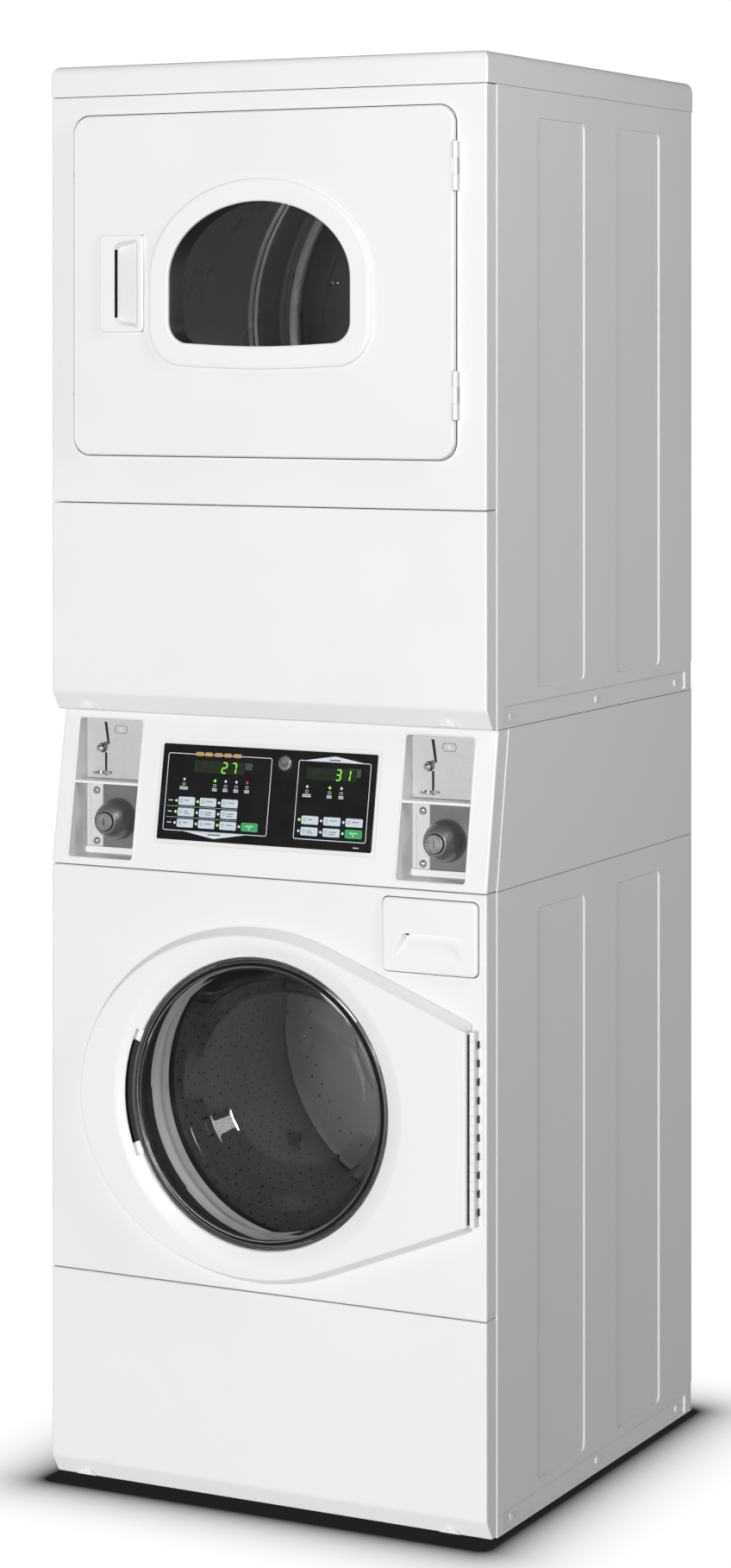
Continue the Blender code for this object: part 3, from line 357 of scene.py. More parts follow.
def ball_cap(centre, radius, height, direction="-Y", segments=24, sink=0.001):
    """A domed screw head sitting on a surface that faces a direction."""
    sign, axis, steps = -1 if direction[0] == "-" else 1, "XYZ".index(direction[1]), 5
    dome = [math.radians(90 * k / steps) for k in range(steps)]
    profile = [(0, -sink * sign), (radius, -sink * sign)]
    profile += [(radius * math.cos(a), sign * height * math.sin(a)) for a in dome]
    profile += [(radius * 0.12, sign * height), (0, sign * height)]
    across = [value for i, value in enumerate(centre) if i != axis]
    return turned([(r, centre[axis] + a) for r, a in profile], direction[1], across, segments)


def merge(*shapes):
    """Several closed bodies in one mesh."""
    whole = bmesh.new()
    for shape in shapes:
        mesh = bpy.data.meshes.new("part")
        shape.to_mesh(mesh)
        shape.free()
        whole.from_mesh(mesh)
        bpy.data.meshes.remove(mesh)
    return whole


def add_object(name, data):
    obj = bpy.data.objects.new(name, data)
    bpy.context.scene.collection.objects.link(obj)
    return obj


def remove_object(obj):
    mesh = obj.data
    bpy.data.objects.remove(obj)
    bpy.data.meshes.remove(mesh)


def loose(shape):
    """An object from a bmesh. An object is passed on as it is."""
    if not isinstance(shape, bmesh.types.BMesh):
        return shape
    bmesh.ops.recalc_face_normals(shape, faces=shape.faces)
    mesh = bpy.data.meshes.new("part")
    shape.to_mesh(mesh)
    shape.free()
    return add_object("part", mesh)


def settle(obj):
    """Turns an object's modifiers into its mesh."""
    evaluated = obj.evaluated_get(bpy.context.evaluated_depsgraph_get())
    mesh = bpy.data.meshes.new_from_object(evaluated)
    obj.modifiers.clear()
    old, obj.data = obj.data, mesh
    bpy.data.meshes.remove(old)
    return obj


def boolean(shape, operation, others):
    obj, tools = loose(shape), [loose(other) for other in others]
    for tool in tools:
        modifier = obj.modifiers.new("cut", "BOOLEAN")
        modifier.operation = operation
        modifier.solver = "EXACT"
        modifier.object = tool
    settle(obj)
    for tool in tools:
        remove_object(tool)
    return obj


def cut(shape, *others):
    return boolean(shape, "DIFFERENCE", others)


def join(shape, *others):
    return boolean(shape, "UNION", others)


def soften(shape, width):
    """Small round edges."""
    obj = loose(shape)
    modifier = obj.modifiers.new("edges", "BEVEL")
    modifier.width = width
    modifier.segments = 2
    modifier.limit_method = "ANGLE"
    modifier.angle_limit = math.radians(28)
    return settle(obj)


def piece(name, shape, finish, body, replaces=(), angle=32):
    """A finished piece that rides on a body."""
    obj = loose(shape)
    obj.data.materials.clear()
    obj.data.materials.append(M[finish])
    obj.data.shade_smooth()
    obj.data.set_sharp_from_angle(angle=math.radians(angle))
    modifier = obj.modifiers.new("weighted", "WEIGHTED_NORMAL")
    modifier.keep_sharp = True
    settle(obj)
    obj.name = obj.data.name = name
    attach(obj, body)
    if replaces:
        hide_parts(*replaces)


def solid_of(node):
    """A working copy of a CAD solid, with its flat faces whole again."""
    bm = bmesh.new()
    bm.from_mesh(frame["nodes"][node].data)
    bmesh.ops.remove_doubles(bm, verts=bm.verts, dist=1e-5)
    bmesh.ops.dissolve_limit(bm, angle_limit=math.radians(0.6), verts=bm.verts, edges=bm.edges)
    return bm


def slotted_head(at, radius, height, direction="-Y"):
    """A low domed screw head with a cross recess."""
    sign, axis = -1 if direction[0] == "-" else 1, "XYZ".index(direction[1])
    arm, half, depth = radius * 0.62, radius * 0.13, height * 0.55
    tip = at[axis] + sign * height
    slots = []
    for long_way in (i for i in range(3) if i != axis):
        ranges = about(at, *(arm if i == long_way else half for i in range(3)))
        ranges[axis] = sorted((tip - sign * depth, tip + sign * 0.002))
        slots.append(block(*ranges))
    head = cut(ball_cap(at, radius, height, direction), *slots)
    bm = bmesh.new()
    bm.from_mesh(head.data)
    remove_object(head)
    return bm


def slotted_heads(places, radius, height, direction="-Y"):
    return merge(*(slotted_head(at, radius, height, direction) for at in places))


# Casing -------------------------------------------------------------------------------------------

CORNER = 0.0028  # round of the fronts' upright corners
SKIN = 0.0014  # how far the fronts' returns lie inside the side sheets
EDGE = ((0.0028, 0.0), (0.0016, 0.0003), (0.0008, 0.0009), (0.0002, 0.0018), (0.0, 0.003))
TOE_HEIGHT, TOE_DEPTH = 0.027, 0.018
PAD_X = {"washer": (-0.289, 0.28), "dryer": (-0.289, 0.277)}
SIDE_RIBS = ((0.1565, 0.3165), (0.428, 0.586))
EXHAUST = (0.02, 1.16)
TERMINALS = {"washer": (0.26, 0.8), "dryer": (0.26, 1.87)}


def slope_y(z, offset=0.0):
    """Depth of the console's sloped face at a height."""
    return FRONT + (z - WASHER_TOP) * math.tan(TILT) + offset


def front_plan(inset, setback, end):
    """Plan of a front that wraps round the sides."""
    side = HALF - SKIN - inset
    radius = max(CORNER - inset, 0.0005)
    y, back = FRONT + inset + setback, FRONT + end
    right = arc((side - radius, y + radius), radius, 0, -90, 10)
    left = arc((-side + radius, y + radius), radius, -90, -180, 10)
    return [(side, back)] + right + left + [(-side, back)]


def front_rings(z0, z1, toe, slope):
    """Heights, insets and setbacks of a front, with its top and bottom edges rounded over."""
    rings = [(z0 + rise, inset) for inset, rise in EDGE]
    if toe:
        rings += [(z0 + TOE_HEIGHT + dz, 0.0) for dz in (-0.004, -0.002, 0.0, 0.002, 0.004)]
    rings += [(z1 - rise, inset) for inset, rise in reversed(EDGE)]
    result = []
    for z, inset in rings:
        setback = 0.0
        if toe:
            above = z - (z0 + TOE_HEIGHT)
            setback = TOE_DEPTH / TOE_HEIGHT * (math.sqrt(above**2 + 0.003**2) - above) / 2
        if slope:
            setback = (z - WASHER_TOP) * math.tan(TILT)
        result.append((z, inset, setback))
    return result


def front_shell(z0, z1, toe=False, slope=False):
    """A folded front, open at the back, with an optional chamfer at its toe or a sloped face."""
    def body(rings, extra, end):
        return stack([(front_plan(inset + extra, setback, (setback if slope else 0) + end), z)
                      for z, inset, setback in rings], "Z")

    rings = front_rings(z0, z1, toe, slope)
    wall = 0.0018
    inside = [(z0 + wall, 0.0, rings[0][2])]
    for z, inset, setback in rings[len(EDGE) - 2:-len(EDGE)]:
        inside.append((min(max(z, z0 + wall), z1 - wall), 0.0, setback))
    inside.append((z1 - wall, 0.0, rings[-1][2]))
    return cut(body(rings, 0.0, RETURN), body(inside, wall, RETURN + 0.01))


def toe_pad(x, z0):
    """A small gable-shaped pad on the chamfer, which carries a screw of the panel."""
    low = [(-0.0185, 0.0012), (0.0185, 0.0012), (0, 0.0215)]
    scaled = ((1.0, 0.0, 1.0, 0.022), (0.8, 0.002, 0.82, 0.01), (0.6, 0.0035, 0.7, 0.0086))
    return stack([([(x + px * wide, z0 + lift + pz * tall) for px, pz in low], FRONT + depth)
                  for wide, lift, tall, depth in scaled])


def wrap_sheet(z0, z1, slope=False):
    """One sheet folded into two sides and a back."""
    bend, wall = 0.004, 0.0031
    levels = []
    for z in (z0, z1):
        front = FRONT + RETURN + 0.0008 + ((z - WASHER_TOP) * math.tan(TILT) if slope else 0.0)
        outline = [
            (-HALF, front), (-HALF, BACK), (HALF, BACK), (HALF, front), (HALF - wall, front),
            (HALF - wall, BACK - wall), (-HALF + wall, BACK - wall), (-HALF + wall, front),
        ]
        radii = [0.0004, bend, bend, 0.0004, 0.0003, bend - wall, bend - wall, 0.0003]
        levels.append((fillet(outline, radii, 4), z))
    return stack(levels, "Z")


def side_cutter(side, outline, depth, slope):
    """Cutter for a shape pressed into a side, with sloping walls. outline gives (y, z) for a growth."""
    steps = ((slope * 1.25, HALF + depth / 4), (slope, HALF), (0.0, HALF - depth))
    return stack([(outline(grow), side * x) for grow, x in steps], "X")


def pressed(side, y, z, depth=0.0017, slope=0.0009, radius=0.01):
    y = (FRONT + y[0], FRONT + y[1])
    return side_cutter(side, lambda grow: rounded(*grown((y, z), grow), radius + grow, 6), depth, slope)


def side_pressings(ribs_z, strip_z):
    shapes = []
    tab_z = (strip_z[0] - 0.001, strip_z[1] + 0.014)
    for side in (-1, 1):
        shapes += [pressed(side, ribs_y, ribs_z) for ribs_y in SIDE_RIBS]
        shapes.append(pressed(side, (0.05, 0.684), strip_z, 0.0023, 0.001, 0.003))
        shapes.append(pressed(side, (0.702, 0.713), tab_z, 0.002, 0.0008, 0.002))
    return shapes


def side_screws(name, z, depths):
    heads = []
    for side, way in ((-1, "-X"), (1, "+X")):
        places = [(side * (HALF - 0.0023), FRONT + depth, z) for depth in depths]
        heads.append(slotted_heads(places, 0.0058, 0.0023, way))
    piece(name, merge(*heads), "enamel", "cabinet")


def rear_pressing(x, z):
    steps = ((0.00455, BACK + 0.0003), (0.0035, BACK), (0.0, BACK - 0.0009))
    return stack([(rounded(*grown((x, z), grow), 0.012), y) for grow, y in steps])


def rear_hole(radius, at, segments):
    return rod(radius, (BACK - 0.02, BACK + 0.02), at, segments)


def make_lid():
    low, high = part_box("top_lid")
    wall, corner = 0.0016, 0.0032
    plan, levels = ((low.x, high.x), (low.y, high.y)), []
    for shrink, rise in (
        (0.0, 0.0), (0.0, 0.0285), (0.0006, 0.033), (0.0022, 0.0375), (0.005, 0.0412), (0.0085, 0.0428),
    ):
        levels.append((rounded(*grown(plan, -shrink), max(corner - shrink, 0.0006)), low.z + rise))
    under = prism(rounded(*grown(plan, -wall), 0.009), "Z", low.z - 0.01, low.z + 0.03)
    piece("top_lid_skin", cut(stack(levels, "Z"), under), "enamel", "cabinet", ["top_lid"])


def make_casing():
    make_lid()
    low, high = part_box("dryer_cabinet")
    disc_at = (FRONT + 0.507, 1.19)
    discs = [side_cutter(side, lambda grow: arc(disc_at, 0.05 + grow, 0, 354, 59), 0.0007, 0.0016)
             for side in (-1, 1)]
    dryer = cut(
        wrap_sheet(low.z, high.z),
        *side_pressings((low.z + 0.0464, high.z - 0.0387), (low.z + 0.003, low.z + 0.0285)),
        *discs,
        rear_pressing((-0.25, 0.25), (1.33, 1.88)),
        rear_hole(0.0526, EXHAUST, 64),
        rear_hole(0.012, TERMINALS["dryer"], 32),
    )
    inset = 0.0008
    floor_y, floor_z = (FRONT + 0.032, BACK - inset), (low.z + 0.0007, low.z + 0.0022)
    join(dryer, block((-HALF + inset, HALF - inset), floor_y, floor_z))
    piece("dryer_cabinet_skin", dryer, "enamel", "cabinet", ["dryer_cabinet"], 14)
    side_screws("dryer_side_screws", low.z + 0.0135, (0.076, 0.362, 0.6505))
    bearing = fillet([(0.0137, -0.024), (0.036, -0.022), (0.036, -0.0016), (0.0137, -0.0016)], 0.002)
    piece("dryer_drum_bearing", turned_at(BACK, bearing, DRYER_DRUM, 48), "galvanised", "cabinet")

    low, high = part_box("washer_cabinet")
    washer = cut(
        wrap_sheet(low.z, high.z),
        *side_pressings((0.049, 0.829), (0.009, 0.0335)),
        rear_pressing((-0.24, 0.24), (0.11, 0.7)),
        rear_hole(0.012, TERMINALS["washer"], 32),
    )
    piece("washer_cabinet_skin", washer, "enamel", "cabinet", ["washer_cabinet"], 14)
    side_screws("washer_side_screws", 0.0212, (0.078, 0.364, 0.655))

    low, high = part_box("console_cabinet")
    console = wrap_sheet(low.z, high.z, slope=True)
    piece("console_cabinet_skin", console, "enamel", "cabinet", ["console_cabinet"], 14)

    for machine, places in PAD_X.items():
        low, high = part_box(f"{machine}_lower_panel")
        panel = join(front_shell(low.z, high.z, toe=True), *(toe_pad(x, low.z) for x in places))
        node = f"{machine}_lower_panel"
        piece(f"{machine}_lower_skin", panel, "enamel", "cabinet", [node])
        heads = slotted_heads([(x, FRONT + 0.0087, low.z + 0.0095) for x in places], 0.0042, 0.0016)
        piece(f"{machine}_panel_screws", heads, "enamel", "cabinet")


def make_feet():
    pad = [
        (0, 0.0), (0.0185, 0.0), (0.0198, 0.0006), (0.02, 0.0022), (0.019, 0.0031), (0.015, 0.0039),
        (0.0098, 0.0052), (0, 0.0052),
    ]
    thread = [(0.0044 + (0.0004 if k % 2 else 0.0), 0.005 + 0.00075 * k) for k in range(42)]
    for side in ("left", "right"):
        for end in ("front", "rear"):
            node = f"levelling_foot_{end}_{side}"
            low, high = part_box(node)
            at = ((low.x + high.x) / 2, (low.y + high.y) / 2)
            stem = turned([(0, 0.005)] + thread + [(0, high.z - 0.0005)], "Z", at, 24)
            nut = prism(arc(at, 0.0085, 0, 300, 5), "Z", 0.0092, 0.0145)
            foot = join(join(turned(pad, "Z", at, 48), stem), nut)
            piece(f"{node}_detail", foot, "zinc", "cabinet", [node], angle=40)


# Console ------------------------------------------------------------------------------------------

OVERLAY_U, OVERLAY_S = (-0.172, 0.1635), (0.0444, 0.177)
POCKETS = {"left": (-0.313, -0.2105), "right": (0.204, 0.3065)}
POCKET_Z, POCKET_DEPTH = (0.88, 1.0715), 0.053
SHELF_Z = (0.981, 0.985)
VAULT_Z = (0.889, 0.98)
RETURN_KNOB_Z = 1.029
SERVICE_LOCK = (0.0215, 0.1586)
INK_N = (-0.0019, -0.0016)  # top and bottom of the printed layer, measured out of the face


def on_face(u, n, s):
    """A point given across, out of and up the sloped face. n is negative towards the viewer."""
    y, z = n * math.cos(TILT) + s * math.sin(TILT), -n * math.sin(TILT) + s * math.cos(TILT)
    return (u, FRONT + y, WASHER_TOP + z)


def face_loft(levels, closed=False):
    """A body on the sloped face from levels of (outline of (u, s), n)."""
    return loft([[on_face(u, n, s) for u, s in outline] for outline, n in levels], closed)


def face_bar(u, s, n, radius=0.0):
    outline = [(u[0], s[0]), (u[1], s[0]), (u[1], s[1]), (u[0], s[1])]
    if radius:
        outline = rounded(u, s, radius, 3)
    return face_loft([(outline, n[1]), (outline, n[0])])


def face_turned(at, profile, segments=32):
    """A body of revolution standing on the face, from (radius, n) points that start and end at 0."""
    return face_loft([(ring(at, radius, segments), n) for radius, n in profile[1:-1]])


def face_rod(at, radius, start, end, segments=32):
    return face_turned(at, [(0, start), (radius, start), (radius, end), (0, end)], segments)


def make_fascia():
    low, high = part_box("console_fascia")
    frame_plan, clear = grown((OVERLAY_U, OVERLAY_S), 0.0062), 0.0012
    recess, inner = rounded(*frame_plan, 0.005, 5), rounded(*grown(frame_plan, -clear), 0.004, 5)
    pocket_y = (FRONT - 0.02, FRONT + POCKET_DEPTH + 0.02)
    fascia = cut(
        front_shell(low.z, high.z, slope=True),
        face_loft([(inner, 0.0008), (recess, -0.0001), (recess, -0.002)]),
        face_rod(SERVICE_LOCK, 0.0104, 0.02, -0.02),
        *(block(x, pocket_y, z) for x, z in (grown((x, POCKET_Z), clear) for x in POCKETS.values())),
    )
    piece("console_fascia_skin", fascia, "fascia", "cabinet", ["console_fascia"])
    for side, (x0, x1) in POCKETS.items():
        back = FRONT + POCKET_DEPTH
        make_pocket(side, x0, x1, back)
        make_coin_drop(side, x0, x1, back)
        make_coin_vault(side, x0, x1, back)


def make_pocket(side, x0, x1, back):
    """Moulded liner of a coin pocket with its rim, shelf and ledge."""
    def loop(grow, place):
        outline = rounded(*grown(((x0, x1), POCKET_Z), grow), 0.0035 + max(grow, -0.0031), 4)
        return [(x, place(z), z) for x, z in outline]

    def at_slope(offset):
        return lambda z: slope_y(z, offset)

    def at_back(offset):
        return lambda z: back + offset

    rim = ((0.0026, 0.0002), (0.0022, -0.0006), (0.0014, -0.001), (0.0006, -0.0007), (0.0, 0.0004))
    well = ((0.0, -0.0016), (-0.001, -0.0004), (-0.001, 0.0012), (0.0011, 0.0012))
    loops = [loop(grow, at_slope(offset)) for grow, offset in rim]
    loops += [loop(grow, at_back(offset)) for grow, offset in well] + [loop(0.0011, at_slope(0.003))]
    edge = slope_y(SHELF_Z[1]) - 0.0002
    shelf = [(edge, SHELF_Z[0]), (back, SHELF_Z[0]), (back, SHELF_Z[1]), (edge + 0.0008, SHELF_Z[1])]
    ledge = [(back - 0.006, POCKET_Z[0]), (back, POCKET_Z[0]), (back, 0.8888), (back - 0.0048, 0.8888)]
    liner = loft(loops, closed=True)
    for outline, radii in ((shelf, [0.0012, 0, 0, 0.0012]), (ledge, [0, 0, 0, 0.001])):
        liner = join(liner, prism(fillet(outline, radii, 4), "X", x0 - 0.0006, x1 + 0.0006))
    piece(f"coin_pocket_liner_{side}", liner, "fascia", "cabinet")


def make_coin_drop(side, x0, x1, back):
    """The slotted plate of a pocket, with its coin return knob, ring and blank price label."""
    front, x = back - 0.0028, x0 + 0.0275
    knob_at = (x, RETURN_KNOB_Z)
    z = (SHELF_Z[1] + 0.0005, POCKET_Z[1] - 0.0008)
    through = (front - 0.02, back + 0.01)
    slanted = [(x + 0.0018, 1.066), (x + 0.0066, 1.0652), (x + 0.0108, 1.0343), (x + 0.0068, 1.0347)]
    straight = [(x + 0.0026, 1.0225), (x + 0.0066, 1.0222), (x + 0.0062, 0.9898), (x + 0.003, 0.9898)]
    levels = [(0.0, back - 0.0003), (0.0, front + 0.0006), (0.0005, front)]
    drop = cut(
        plate((x0 + 0.0008, x1 - 0.0008), z, 0.003, levels),
        *(prism(slot, "Y", *through) for slot in (slanted, straight)),
        rod(0.0057, through, knob_at, 40),
    )
    piece(f"coin_drop_plate_{side}", drop, "plate", "cabinet", [f"coin_drop_{side}"])
    # Painted shade: a black plate behind the slots and the knob, where the inside of the pocket lies in
    # shadow.
    levels = [(0.0, back + 0.0004), (0.0, back - 0.0002)]
    behind = plate((x0 + 0.0012, x1 - 0.0012), (z[0] + 0.002, z[1] - 0.002), 0.002, levels)
    behind = cut(behind, rod(0.0057, through, knob_at, 40))
    piece(f"coin_drop_shade_{side}", behind, "dark", "cabinet")

    wing = ((-0.0062, 1.0262), (0.001, 1.0232), (0.0062, 1.0292), (0.0098, 1.0392), (0.006, 1.038),
            (-0.002, 1.035))
    wing = fillet([(x + dx, wing_z) for dx, wing_z in wing], 0.0025, 3)
    rim = fillet([(0.0057, -0.0002), (0.007, -0.0002), (0.0067, -0.0042), (0.0057, -0.0048)], 0.0004, 3)
    cup = cut(prism(wing, "Y", front + 0.0002, front - 0.0016), rod(0.0059, through, knob_at, 40))
    join(cup, turned_at(front, rim, knob_at, 40))
    piece(f"coin_return_cup_{side}", cup, "vault_dome", "cabinet")
    node = f"coin_return_button_{side}"
    low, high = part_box(node)
    knob = [
        (0, high.y - low.y), (0.0028, high.y - low.y), (0.0028, 0.0075), (0.004, 0.0072), (0.005, 0.0058),
        (0.0053, 0.003), (0.0047, 0.0012), (0.0034, 0.0003), (0.0018, 0), (0, 0),
    ]
    piece(f"coin_return_knob_{side}", turned_at(low.y, knob, knob_at, 32), "chrome", node, [node])

    hoop, thick, tall = [], 0.0013, 0.0016
    for a in circle(48):
        middle = Vector((x + 0.002 + 0.0118 * math.cos(a), front - 0.0088 + 0.0085 * math.sin(a), 0.9946))
        out, up = Vector((math.cos(a), math.sin(a), 0)), Vector((0, 0, 1))
        hoop.append([middle + out * thick * math.cos(t) + up * tall * math.sin(t) for t in circle(10)])
    piece(f"coin_drop_ring_{side}", loft(hoop, closed=True), "chrome", "cabinet")

    label = (x + 0.0291, 1.0558)
    (u, s), slant = (0.0112, 0.0058), 0.0082
    corners = [(-u, 0.0), (-slant, s), (slant, s), (u, 0.0), (slant, -s), (-slant, -s)]
    outer, inner = (fillet([(label[0] + a * wide, label[1] + b * high) for a, b in corners], radius, 4)
                    for wide, high, radius in ((1, 1, 0.0022), (0.93, 0.88, 0.002)))
    top, bottom = front - 0.00025, front + 0.0001
    outline = stack([(outer, top), (inner, top), (inner, bottom), (outer, bottom)], closed=True)
    piece(f"coin_label_outline_{side}", outline, "ink", "cabinet")
    pip = rod(0.003, (front + 0.0001, front - 0.0003), label, 32)
    piece(f"coin_label_pip_{side}", pip, "bracket", "cabinet")


def make_coin_vault(side, x0, x1, back):
    """A coin vault behind its steel dome, with the lock in the middle and a bracket at its left."""
    node, lock_node = f"coin_vault_{side}", f"vault_lock_{side}"
    low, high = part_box(node)
    lock_low, lock_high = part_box(lock_node)
    at = ((lock_low.x + lock_high.x) / 2, (lock_low.z + lock_high.z) / 2)
    levels = [(0.0, back - 0.0002), (0.0, back - 0.0022), (0.0004, back - 0.0026)]
    groove = block((x0 + 0.007, x0 + 0.0076), (back - 0.005, back - 0.002), grown([VAULT_Z], -0.001)[0])
    strip = cut(plate((x0 + 0.0006, x0 + 0.0272), VAULT_Z, 0.002, levels), groove)
    piece(f"vault_bracket_{side}", strip, "bracket", "cabinet")
    heads = slotted_heads([(x0 + 0.0167, back - 0.0026, z) for z in (0.968, 0.8962)], 0.006, 0.0034)
    piece(f"vault_bracket_screws_{side}", heads, "chrome", "cabinet")

    front = back - 0.0045
    levels = [(0.0, FRONT + 0.0525), (0.0, front + 0.0008), (0.0006, front + 0.0002), (0.0016, front)]
    tray = block((low.x + 0.0001, high.x - 0.0001), (front + 0.003, high.y), (low.z, high.z))
    room_y, room_z = (front + 0.0045, high.y - 0.002), (low.z + 0.002, high.z + 0.01)
    room = block((low.x + 0.002, high.x - 0.002), room_y, room_z)
    box = cut(join(plate((x0 + 0.028, x1 - 0.001), VAULT_Z, 0.002, levels), tray), room)
    piece(f"coin_vault_body_{side}", box, "vault", node, [node])
    dome = fillet([
        (0.014, 0.0005), (0.029, 0.0005), (0.029, -0.004), (0.0284, -0.011), (0.0264, -0.019),
        (0.0236, -0.0265), (0.0206, -0.0325), (0.0184, -0.0362), (0.0172, -0.0385), (0.0136, -0.0385),
        (0.0133, -0.037), (0.0133, -0.01),
    ], [0.0012, 0.0012, 0.008, 0.02, 0.02, 0.02, 0.02, 0.008, 0.001, 0.0006, 0.0006, 0.0012], 4)
    piece(f"coin_vault_guard_{side}", turned_at(front, dome, at, 64), "vault_dome", node)
    tip = lock_low.y
    plug = [(0, lock_high.y), (0.0126, lock_high.y), (0.0126, tip), (0, tip)]
    plug = fillet(plug, [0, 0.0003, 0.001, 0], 3)
    x, z = about(at, 0.001, 0.0052)
    keyway = fillet([(x[0], z[0]), (x[1], z[0]), (x[1], z[1]), (x[0], z[1])], 0.0004, 2)
    groove = fillet([(0.0098, -0.001), (0.0106, -0.001), (0.0106, 0.0005), (0.0098, 0.0005)], 0.0001, 1)
    lock = cut(turned(plug, "Y", at, 64), prism(keyway, "Y", tip - 0.01, tip + 0.006))
    cut(lock, turned_at(tip, groove, at, 64))
    piece(f"vault_lock_plug_{side}", lock, "lock_steel", lock_node, [lock_node])


def tube_frame(u, s, width=0.001, radius=0.003, n=INK_N):
    """A thin printed frame line."""
    levels = []
    for grow, level in ((0.0, n[1]), (0.0, n[0]), (-width, n[0]), (-width, n[1])):
        levels.append((rounded(*grown((u, s), grow), radius + grow, 4), level))
    return face_loft(levels, closed=True)


def digit(u, s, letters):
    """A seven-segment figure, leaning a little."""
    height, width, lean = 0.0142, 0.0066, 0.1
    half = height / 2
    places = {
        "a": ((0.0, height), (width, height)), "b": ((width, height), (width, half)),
        "c": ((width, half), (width, 0.0)), "d": ((0.0, 0.0), (width, 0.0)), "e": ((0.0, half), (0.0, 0.0)),
        "f": ((0.0, height), (0.0, half)), "g": ((0.0, half), (width, half)),
    }
    shapes = []
    for first, last in (places[letter] for letter in letters):
        first, last = Vector(first), Vector(last)
        along = (last - first).normalized()
        side = Vector((-along.y, along.x)) * 0.00075
        first, last = first + along * 0.0006, last - along * 0.0006
        bevel = along * 0.0004
        outline = [first - along * 0.0001, first + side + bevel, last + side - bevel,
                   last + along * 0.0001, last - side - bevel, first - side + bevel]
        flat = [(u + p.x + lean * p.y, s + p.y) for p in outline]
        shapes.append(face_loft([(flat, -0.0021), (flat, -0.00245)]))
    return shapes


def lamp(u, s):
    return face_turned((u, s), [(0, -0.0016), (0.0019, -0.0016), (0.0019, -0.002), (0.00133, -0.0024),
                                (0.00057, -0.0026), (0, -0.0026)], 20)


KEY_U = (-0.1284, -0.0943, -0.0602, -0.0261)
DRYER_KEY_U = (0.0671, 0.1012, 0.1353)
KEY_S = (0.0986, 0.0833, 0.068)
KEY_HALF = (0.013, 0.0055)
KEY_LAMP = 0.0166  # how far a key's lamp stands to its left


def key_places():
    keys = {}
    for row in range(3):
        for column in range(3):
            keys[f"washer_key_{row + 1}_{column + 1}"] = (KEY_U[column], KEY_S[row])
    for row, columns in ((1, 3), (2, 2)):
        for column in range(columns):
            keys[f"dryer_key_{row}_{column + 1}"] = (DRYER_KEY_U[column], KEY_S[row])
    keys["washer_start_key"] = (KEY_U[3], KEY_S[2])
    keys["dryer_start_key"] = (DRYER_KEY_U[2], KEY_S[2])
    return keys


def make_controls():
    sheet = rounded(OVERLAY_U, OVERLAY_S, 0.002, 3)
    keys = key_places()
    clear = 0.0004
    holes = [face_bar(*grown(about(at, *KEY_HALF), clear), (-0.01, 0.01), 0.0016) for at in keys.values()]
    holes.append(face_rod(SERVICE_LOCK, 0.0104, 0.01, -0.01))
    overlay = cut(face_loft([(sheet, -0.0004), (sheet, -0.0017)]), *holes)
    piece("control_overlay_skin", overlay, "black_film", "cabinet", ["control_overlay"])
    for name, at in keys.items():
        starts = "start" in name
        plan = about(at, *KEY_HALF)
        base, crown = rounded(*plan, 0.0015, 3), rounded(*grown(plan, -0.0005), 0.0012, 3)
        key = face_loft([(base, -0.001), (base, -0.0023), (crown, -0.0026)])
        piece(f"{name}_cap", key, "key_green" if starts else "key", name, [name])
        piece(f"{name}_icon", merge(*key_icon(name, *at)), "print" if starts else "ink", name)
    make_print()
    make_lamps()
    make_service_lock()


def key_icon(name, u, s):
    """A plain mark and one or two bars in place of lettering."""
    n = (-0.00275, -0.0025)
    if "start" in name:
        return [face_bar((u - 0.006, u + 0.006), (s + 0.0004, s + 0.0017), n),
                face_bar((u - 0.0012, u + 0.0012), (s - 0.003, s - 0.0012), n)]
    wide = 0.007 if name.endswith("1") else 0.011
    shapes = [tube_frame((u - 0.0096, u - 0.0062), (s - 0.0022, s + 0.0024), 0.0005, 0.0008, n),
              face_bar((u - 0.003, u - 0.003 + wide), (s + 0.0003, s + 0.0014), n)]
    if "_2_" in name:
        shapes.append(face_bar((u - 0.003, u + 0.0065), (s - 0.0026, s - 0.0016), n))
    return shapes


def caption(u, s, width):
    """Short bars under a lamp, in place of its symbol and word."""
    n = (-0.00195, -0.0016)
    shapes = [tube_frame((u - 0.0022, u + 0.0022), (s - 0.0085, s - 0.0048), 0.0005, 0.0006, n)]
    for drop in (0.0, 0.0024):
        shapes.append(face_bar((u - width / 2, u + width / 2), (s - 0.0118 - drop, s - 0.0104 - drop), n))
    return shapes


WASHER_FIELD = ((-0.1635, 0.0016), (0.057, 0.1645))  # the printed frames, as (u, s) ranges
DRYER_FIELD = ((0.043, 0.155), (0.0567, 0.1644))
LAMP_S = 0.1287
# Status lamps as (u, finish, width of the caption)
LAMPS = (
    (-0.135, "lamp_off", 0.013), (-0.086, "lamp_green", 0.0075), (-0.069, "lamp_off", 0.0075),
    (-0.052, "lamp_off", 0.0075), (-0.035, "lamp_red", 0.0075), (0.059, "lamp_off", 0.013),
    (0.094, "lamp_green", 0.0075), (0.112, "lamp_off", 0.0075),
)


